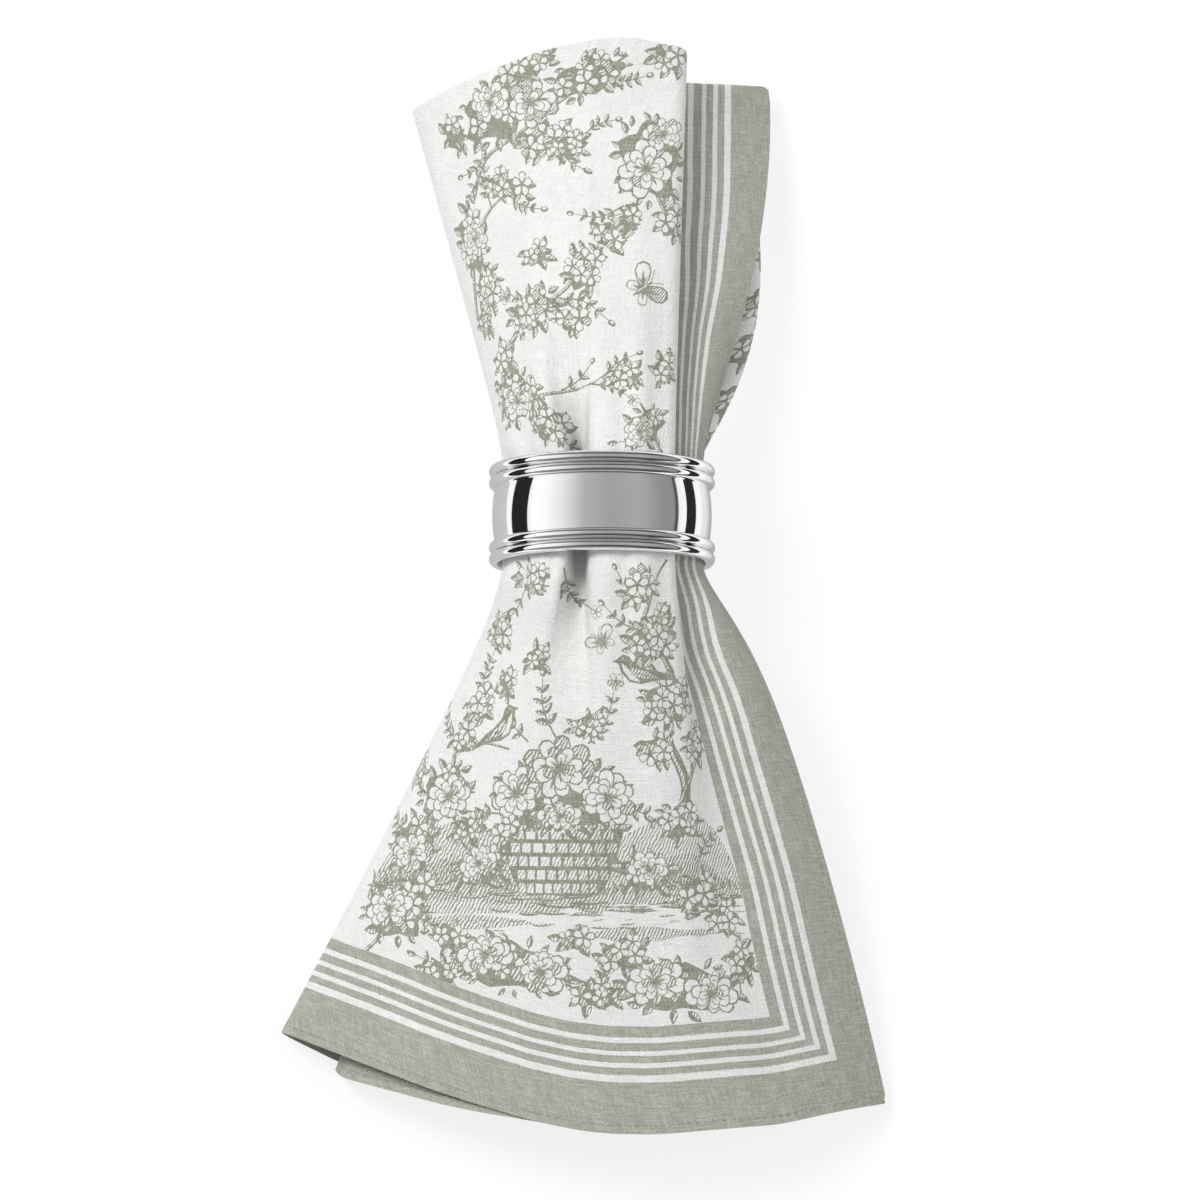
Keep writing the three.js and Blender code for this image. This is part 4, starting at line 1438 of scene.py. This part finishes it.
    def design_places(self, printed: Array, marks: dict[str, int], outer_rows: int) -> Array:
        """Places of the print on the lattice, close to the plan seen in the picture.

        The height on the picture is 0.99 y + 0.139 (z - the axis's height). The place
        across is x at the right lobe, and from there it runs on with the cloth's own length; over
        the valley it runs on with the plan, so that the print meets across it.

        Args:
            printed: the printed side [row, column, xyz].
            marks: column of each fold line.
            outer_rows: number of rows of the outer layer.

        Returns:
            The design places [row, column, 2] in mm.
        """
        steps = np.diff(printed, axis=1)
        sizes = np.linalg.norm(steps, axis=-1)
        valley = slice(marks["right lip"], marks["left lip"])
        sizes[:, valley] = np.maximum(np.abs(steps[:, valley, 0]),
                                      self.valley_share * sizes[:, valley])
        across = np.concatenate([np.zeros((len(printed), 1)), np.cumsum(sizes, axis=1)], axis=1)
        middle = marks["right lobe"]
        across = printed[:, middle, 0, None] - across + across[:, middle, None]
        up = (self.picture_up[0] * printed[..., 1]
              + self.picture_up[1] * (printed[..., 2] - RING_RADIUS))
        across[outer_rows:] = across[outer_rows - 1]
        beyond = np.linalg.norm(np.diff(printed[outer_rows - 1:], axis=0), axis=-1)
        up[outer_rows:] = up[outer_rows - 1] + np.cumsum(beyond, axis=0)
        return np.stack([across, up], axis=-1)

    def build(self) -> bpy.types.Object:
        """Makes the closed sheet and dresses it.

        Returns:
            The napkin's object.
        """
        grid = self.lattice()
        art = FloralPrint()
        art.draw()
        cut = PrintCutter(grid.design).cut(art)
        number = np.arange(grid.across.size).reshape(grid.across.shape)
        rim = np.concatenate([number[0, :-1], number[:-1, -1], number[-1, :0:-1], number[:0:-1, 0]])
        faces = self.faces(number, cut, rim)
        points = np.concatenate([cut.spread(grid.printed), grid.reverse.reshape(-1, 3)])
        centre = np.array([self.ring_centre.x, self.ring_centre.y, 0.0])
        mesh = bpy.data.meshes.new("napkin_cloth")
        mesh.from_pydata((points * MILLIMETRE + centre).tolist(), [], faces.tolist())
        self.attributes(mesh, grid, cut)
        self.unwrap(mesh, grid, cut, faces, rim)
        self.shade(mesh, grid, cut, faces, len(rim))
        napkin = bpy.data.objects.new("napkin_cloth", mesh)
        bpy.context.scene.collection.objects.link(napkin)
        mesh.materials.append(PrintedCloth().material())
        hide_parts("napkin")
        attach(napkin, "root")
        LOG.info("napkin: %d points, %d triangles, %d of them printed side, widest %.0f by %.0f mm",
                 len(points), len(faces), len(cut.triangles), grid.across.max(), grid.along.max())
        return napkin

    @staticmethod
    def faces(number: Array, cut: CutPrint, rim: Array) -> Array:
        """Triangles of the sheet: the cut printed side, the plain reverse, and the wall between.

        Args:
            number: the reverse's points [row, column], which come after the printed side's.
            cut: the cut printed side.
            rim: lattice numbers round the edge.

        Returns:
            The triangles [n, 3].
        """
        a, b = number[:-1, :-1].ravel(), number[1:, :-1].ravel()
        c, d = number[1:, 1:].ravel(), number[:-1, 1:].ravel()
        reverse = np.concatenate([np.stack([c, b, a], -1), np.stack([d, c, a], -1)])
        count, after = len(cut.places), np.roll(rim, -1)
        front_rim, front_after = cut.lattice_points[rim], cut.lattice_points[after]
        wall = np.concatenate([np.stack([front_rim, front_after, after + count], -1),
                               np.stack([front_rim, after + count, rim + count], -1)])
        return np.concatenate([cut.triangles[:, ::-1], reverse + count, wall])

    @staticmethod
    def attributes(mesh: bpy.types.Mesh, grid: SheetGrid, cut: CutPrint) -> None:
        """Stores the distances from the hems for each point, and the ink for each face.

        Args:
            mesh: the cloth's mesh.
            grid: its lattice.
            cut: its cut printed side.
        """
        none = 0.0 * grid.across
        near = np.stack([grid.across, grid.along, none], -1)
        far = np.stack([grid.across[:, -1:] - grid.across, grid.along[-1:] - grid.along, none], -1)
        for name, values, reverse in (("cloth", near, 0.0), ("far", far, 1.0)):
            both = np.concatenate([cut.spread(values), values.reshape(-1, 3) + [0.0, 0.0, reverse]])
            layer = mesh.attributes.new(name, "FLOAT_VECTOR", "POINT")
            layer.data.foreach_set("vector", both.astype(np.float32).ravel())
        inks = np.zeros(len(mesh.polygons), np.float32)
        inks[:len(cut.inks)] = cut.inks
        mesh.attributes.new("ink", "FLOAT", "FACE").data.foreach_set("value", inks)

    def unwrap(self, mesh: bpy.types.Mesh, grid: SheetGrid, cut: CutPrint, faces: Array,
               rim: Array) -> None:
        """Lays the cloth out flat for baking: printed side, a strip for the wall, reverse side.

        Args:
            mesh: the cloth's mesh.
            grid: its lattice.
            cut: its cut printed side.
            faces: all its triangles.
            rim: lattice numbers round the edge.
        """
        low, high = self.strip_margin, 1.0 - self.strip_margin

        def laid(shares: Array, strip: Pair) -> Array:
            """Shares across and along, set into an upright strip."""
            return shares * [strip[1] - strip[0], high - low] + [strip[0], low]

        shares = np.stack([grid.across / grid.across[:, -1:], grid.along / grid.along[-1:]], -1)
        places = np.concatenate([laid(cut.spread(shares), self.front_strip),
                                 laid(shares.reshape(-1, 2), self.back_strip)])[faces]
        around = np.linspace(low, high, len(rim) + 1)
        start, end = around[:-1], around[1:]
        left, right = (np.full(len(rim), side) for side in self.edge_strip)
        corners = ((left, start), (left, end), (right, end), (left, start), (right, end),
                   (right, start))
        wall = np.stack([np.stack(corner, -1) for corner in corners], 1)
        places[len(faces) - 2 * len(rim):] = np.concatenate([wall[:, :3], wall[:, 3:]])
        layer = mesh.uv_layers.new(name="OFBake")
        layer.data.foreach_set("uv", places.astype(np.float32).ravel())

    @staticmethod
    def shade(mesh: bpy.types.Mesh, grid: SheetGrid, cut: CutPrint, faces: Array,
              rim_size: int) -> None:
        """Gives both sides the lattice's normals, and leaves the wall its own.

        Args:
            mesh: the cloth's mesh.
            grid: its lattice.
            cut: its cut printed side.
            faces: all its triangles, the wall's last.
            rim_size: number of points round the edge; the wall has twice as many triangles.
        """
        mesh.shade_smooth()
        normals = np.concatenate([unit(cut.spread(grid.normals)), -grid.normals.reshape(-1, 3)])
        corners = normals[faces]
        corners[len(faces) - 2 * rim_size:] = 0.0
        mesh.normals_split_custom_set(corners.reshape(-1, 3).tolist())


@dataclass
class BeadedRing:
    """The napkin ring: a crowned band between two round beads at each rim, plain inside."""

    centre: Vector
    outer_radius: float = RING_RADIUS
    bore_radius: float = 22.0
    bore_edge: float = 0.25
    bore_rows: int = 5
    width: float = 21.0
    bead_radius: float = 1.2
    beads: int = 2
    bead_steps: int = 12
    crown: float = 0.5
    band_steps: int = 20
    segments: int = 224
    sharp_angle: float = 50.0

    def profile(self) -> Array:
        """Closed outline as radius and height: the bore, half circles for the beads, and the band.

        The band's radius is that of the beads' middles plus crown (1 - t^2), with t from -1 to 1
        across it.

        Returns:
            Points [n, 2] in mm, in order round the section.
        """
        rim, low = self.width / 2, self.outer_radius - self.bead_radius
        band = rim - 2 * self.bead_radius * self.beads
        turn = np.linspace(-np.pi / 2, np.pi / 2, self.bead_steps + 1)
        bead = np.stack([low + self.bead_radius * np.cos(turn),
                         self.bead_radius * np.sin(turn)], -1)
        mouth = self.bore_radius + self.bore_edge
        rows = [np.array([[mouth, -rim]])]
        for start in (-rim, band):
            for k in range(self.beads):
                middle = start + self.bead_radius * (2 * k + 1)
                rows.append(bead[0 if k == 0 else 1:] + [0.0, middle])
            if start < 0:
                t = np.linspace(-1, 1, self.band_steps + 1)[1:-1]
                rows.append(np.stack([low + self.crown * (1 - t * t), band * t], -1))
        rows.append(np.array([[mouth, rim]]))
        inner = np.linspace(rim - self.bore_edge, self.bore_edge - rim, self.bore_rows)
        rows.append(np.stack([np.full(self.bore_rows, self.bore_radius), inner], -1))
        return np.concatenate(rows)

    def build(self) -> bpy.types.Object:
        """Turns the outline round the ring's axis and dresses it.

        Returns:
            The ring's object.
        """
        profile = self.profile() * MILLIMETRE
        angles = np.linspace(0, 2 * np.pi, self.segments, endpoint=False)
        x = self.centre.x + np.outer(np.sin(angles), profile[:, 0])
        z = self.centre.z + np.outer(np.cos(angles), profile[:, 0])
        y = self.centre.y + np.tile(profile[:, 1], (self.segments, 1))
        count = len(profile)
        number = np.arange(self.segments * count).reshape(self.segments, count)
        right, up = np.roll(number, -1, axis=0), np.roll(number, -1, axis=1)
        corner = np.roll(right, -1, axis=1)
        faces = np.stack([number, up, corner, right], -1).reshape(-1, 4)
        mesh = bpy.data.meshes.new("napkin_ring")
        mesh.from_pydata(np.stack([x, y, z], -1).reshape(-1, 3).tolist(), [], faces.tolist())
        mesh.shade_smooth()
        mesh.set_sharp_from_angle(angle=math.radians(self.sharp_angle))
        ring = bpy.data.objects.new("napkin_ring", mesh)
        bpy.context.scene.collection.objects.link(ring)
        mesh.materials.append(PolishedMetal().material())
        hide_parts("ring")
        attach(ring, "root")
        LOG.info("ring: %d points", self.segments * count)
        return ring


class Side(Enum):
    """The two sides of the ring where a dark card stands."""

    LEFT = -1
    RIGHT = 1


@dataclass(frozen=True)
class Card:
    """A dark card on edge beside the ring, which shows in it as a dark bar, and the mat before it.

    distance is how far it stands from the ring's axis, span the heights of its two edges and rise
    how much higher its far end stands, all in metres. grey is the mat's brightness, which is
    painted shade: the floor beside the ring, darker in its shade, as the ring mirrors it.
    """

    side: Side
    distance: float
    span: Pair
    rise: float
    grey: float


@dataclass(frozen=True)
class Lamp:
    """A square soft light that looks at the ring, placed from there in metres; power in watts."""

    name: str
    place: Triple
    size: float
    power: float


@dataclass(frozen=True)
class ReflectedRoom:
    """Finish of the canopy that only the ring mirrors: a grey that changes round the ring's axis.

    steps holds angles from straight up, in degrees to the right, and the brightness there. Along
    the axis it falls to dim, between the distances of fall from a point that lies ahead of the
    ring.
    """

    centre: Vector
    steps: tuple[Pair, ...] = ((-88.0, 0.8), (-76.0, 1.1), (-60.0, 1.05), (-42.0, 0.85),
                               (-18.0, 0.46), (8.0, 0.37), (40.0, 0.42), (66.0, 0.29),
                               (80.0, 0.28), (83.0, 0.05), (85.0, 0.05), (87.0, 1.0))
    ahead: float = 0.06
    fall: Pair = (0.16, 0.30)
    dim: float = 0.22
    blue: float = 1.01

    def material(self) -> bpy.types.Material:
        """Builds the node tree.

        Returns:
            The material.
        """
        sheet = NodeSheet("reflected_room")
        parts = sheet.split(sheet.place())
        x = sheet.maths("SUBTRACT", parts[0], self.centre.x)
        y = sheet.maths("ABSOLUTE", sheet.maths("SUBTRACT", parts[1], self.centre.y + self.ahead))
        z = sheet.maths("SUBTRACT", parts[2], self.centre.z)
        turn = sheet.maths("MULTIPLY_ADD", sheet.maths("ARCTAN2", x, z), 1.0 / math.pi, 0.5)
        ramp = sheet.node("ShaderNodeValToRGB")
        sheet.join(turn, ramp.inputs[0])
        stops = ramp.color_ramp.elements
        while len(stops) < len(self.steps):
            stops.new(0.5)
        for stop, (degrees, level) in zip(stops, self.steps):
            stop.position = degrees / 180.0 + 0.5
            stop.color = (level, level, level * self.blue, 1.0)
        glow = sheet.node("ShaderNodeEmission")
        sheet.join(ramp.outputs[0], glow.inputs[0])
        sheet.join(sheet.ramp(y, *self.fall, 1.0, self.dim), glow.inputs[1])
        sheet.join(glow.outputs[0], sheet.tree.nodes["Material Output"].inputs[0])
        return sheet.material


@dataclass
class Studio:
    """Pale floor, soft lights, canopy and cards for the ring's reflections, and the camera.

    elevation is the camera's angle above the table in degrees, and ring_pixel where the ring's
    middle falls on the picture, which is picture pixels wide. floor_drop is in mm, the other sizes
    in metres.
    """

    ring_centre: Vector
    elevation: float = 82.0
    distance: float = 1.7
    pixels_per_mm: float = 4.75
    picture: float = 1200.0
    ring_pixel: Pair = (602.0, 516.0)
    sensor: float = 36.0
    floor_half: float = 3.0
    floor_drop: float = 0.05
    floor_grey: float = 0.19
    floor_glow: float = 0.80
    sky_level: float = 0.38
    canopy_radius: float = 0.45
    canopy_half: float = 0.8
    canopy_angle: float = 89.0
    canopy_steps: int = 61
    card_half: float = 0.05
    card_grey: Colour = (0.012, 0.012, 0.013, 1.0)
    mat_height: float = 0.0004
    cards: tuple[Card, ...] = (Card(Side.LEFT, 0.08, (0.008, 0.040), 0.012, 0.52),
                               Card(Side.RIGHT, 0.06, (0.015, 0.031), 0.0, 0.80))
    lamps: tuple[Lamp, ...] = (Lamp("key", (-0.66, 0.46, 1.1), 0.5, 14.0),
                               Lamp("fill", (0.8, -0.1, 1.0), 1.0, 4.0))

    @staticmethod
    def plain_material(name: str, colour: Colour, roughness: float,
                       glow: float = 0.0) -> bpy.types.Material:
        """A matt material with a trace of unevenness in its colour.

        Args:
            name: the material's name.
            colour: its colour.
            roughness: its roughness.
            glow: light of its own, as from a lit table.

        Returns:
            The material.
        """
        sheet = NodeSheet(name)
        cloud = sheet.ramp(sheet.noise(sheet.place(), 4.0), 0.2, 0.8)
        darker = (colour[0] * 0.99, colour[1] * 0.99, colour[2] * 0.99, 1.0)
        sheet.finish(Base_Color=sheet.blend(cloud, colour, darker), Roughness=roughness,
                     Emission_Color=(1.0, 1.0, 1.0, 1.0), Emission_Strength=glow)
        return sheet.material

    @staticmethod
    def piece(name: str, points: list[Triple], material: bpy.types.Material,
              faces: Sequence[Sequence[int]] = ((0, 1, 2, 3),)) -> bpy.types.Object:
        """A thin piece of the studio, which isn't part of the object.

        Args:
            name: the piece's name.
            points: its points in metres.
            material: its material.
            faces: its faces; one with four corners if none are given.

        Returns:
            The object.
        """
        mesh = bpy.data.meshes.new(name)
        mesh.from_pydata(points, [], faces)
        mesh.materials.append(material)
        made = bpy.data.objects.new(name, mesh)
        bpy.context.scene.collection.objects.link(made)
        return made

    @staticmethod
    def mirrored_only(made: bpy.types.Object) -> None:
        """Lets only mirror-like surfaces see a piece, and keeps it from shading anything."""
        made.visible_camera = made.visible_diffuse = made.visible_shadow = False
        made.visible_transmission = made.visible_volume_scatter = False

    def floor(self) -> None:
        """Lays the floor, a hair below the cloth."""
        half, z = self.floor_half, -self.floor_drop * MILLIMETRE
        self.piece("floor", [(-half, -half, z), (half, -half, z), (half, half, z), (-half, half, z)],
                   self.plain_material("pale_floor", (*[self.floor_grey] * 3, 1.0), 0.95,
                                       self.floor_glow))

    def canopy(self) -> None:
        """A half tube round the ring's axis: x = r sin a, z = r cos a, open at its ends."""
        angles = np.radians(np.linspace(-self.canopy_angle, self.canopy_angle, self.canopy_steps))
        x = self.ring_centre.x + self.canopy_radius * np.sin(angles)
        z = self.ring_centre.z + self.canopy_radius * np.cos(angles)
        ends = [self.ring_centre.y - self.canopy_half, self.ring_centre.y + self.canopy_half]
        points = [(float(a), end, float(b)) for end in ends for a, b in zip(x, z)]
        count = len(angles)
        faces = [(k, k + 1, k + 1 + count, k + count) for k in range(count - 1)]
        self.mirrored_only(self.piece("canopy", points, ReflectedRoom(self.ring_centre).material(),
                                      faces))

    def card(self, card: Card) -> None:
        """Stands a card beside the ring and lays its mat, a sheet of painted shade that the ring
        mirrors.

        Args:
            card: the card.
        """
        near, y, z = self.ring_centre.x, self.ring_centre.y, self.mat_height
        x, half = near + card.side.value * card.distance, self.card_half
        low, high = card.span
        board = [(x, y - half, low), (x, y + half, low + card.rise),
                 (x, y + half, high + card.rise), (x, y - half, high)]
        mat = [(near, y - 2 * half, z), (x, y - 2 * half, z), (x, y + 2 * half, z),
               (near, y + 2 * half, z)]
        # The mat's grey is painted shade: the shaded floor beside the ring, seen only in the ring.
        greys = (self.card_grey, (*[card.grey] * 3, 1.0))
        for name, points, grey in zip(("dark_card", "floor_shade_mat"), (board, mat), greys):
            self.mirrored_only(self.piece(f"{name}_{card.side.name.lower()}", points,
                                          self.plain_material(name, grey, 0.9)))

    def light(self, lamp: Lamp) -> None:
        """Hangs a lamp.

        Args:
            lamp: the lamp.
        """
        data = bpy.data.lights.new(lamp.name, "AREA")
        data.shape = "SQUARE"
        data.size = lamp.size
        data.energy = lamp.power
        made = bpy.data.objects.new(lamp.name, data)
        made.location = self.ring_centre + Vector(lamp.place)
        made.rotation_euler = (-Vector(lamp.place)).to_track_quat("-Z", "Y").to_euler()
        made.visible_glossy = False
        bpy.context.scene.collection.objects.link(made)

    def camera(self) -> None:
        """Sets the camera so that the ring's centre falls on its pixel of the picture."""
        lift = math.radians(self.elevation)
        back = Vector((0.0, -math.cos(lift), math.sin(lift)))
        up = Vector((0.0, math.sin(lift), math.cos(lift)))
        scale = self.pixels_per_mm / MILLIMETRE
        half = self.picture / 2
        aim = (self.ring_centre + Vector((half - self.ring_pixel[0], 0.0, 0.0)) / scale
               + up * ((self.ring_pixel[1] - half) / scale))
        data = bpy.data.cameras.new("camera")
        data.sensor_width = self.sensor
        data.lens = self.sensor * self.distance / (self.picture / scale)
        data.clip_start, data.clip_end = 0.05, 20.0
        made = bpy.data.objects.new("camera", data)
        made.location = aim + back * self.distance
        made.rotation_euler = (-back).to_track_quat("-Z", "Y").to_euler()
        bpy.context.scene.collection.objects.link(made)
        bpy.context.scene.camera = made

    def sky(self) -> None:
        """Fills the room with an even pale light."""
        world = bpy.data.worlds.new("studio")
        world.use_nodes = True
        backdrop = world.node_tree.nodes["Background"]
        backdrop.inputs["Color"].default_value = (1.0, 1.0, 1.0, 1.0)
        backdrop.inputs["Strength"].default_value = self.sky_level
        bpy.context.scene.world = world

    def build(self) -> None:
        """Makes the whole studio."""
        self.camera()
        self.sky()
        self.floor()
        self.canopy()
        for card in self.cards:
            self.card(card)
        for lamp in self.lamps:
            self.light(lamp)
        bpy.context.scene.view_settings.view_transform = "Standard"
        LOG.info("studio: camera, floor and lights")


def corners(box: tuple[Vector, Vector]) -> list[list[float]]:
    """A box's two corners as plain lists of numbers."""
    return [[float(value) for value in corner] for corner in box]


def main() -> None:
    """Builds the studio, the ring and the napkin."""
    logging.basicConfig(level=logging.INFO, format="%(name)s: %(message)s")
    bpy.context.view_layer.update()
    low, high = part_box("ring")
    centre = (low + high) / 2
    Studio(centre).build()
    BeadedRing(centre).build()
    FoldedNapkin(centre).build()


if __name__ == "__main__":
    main()
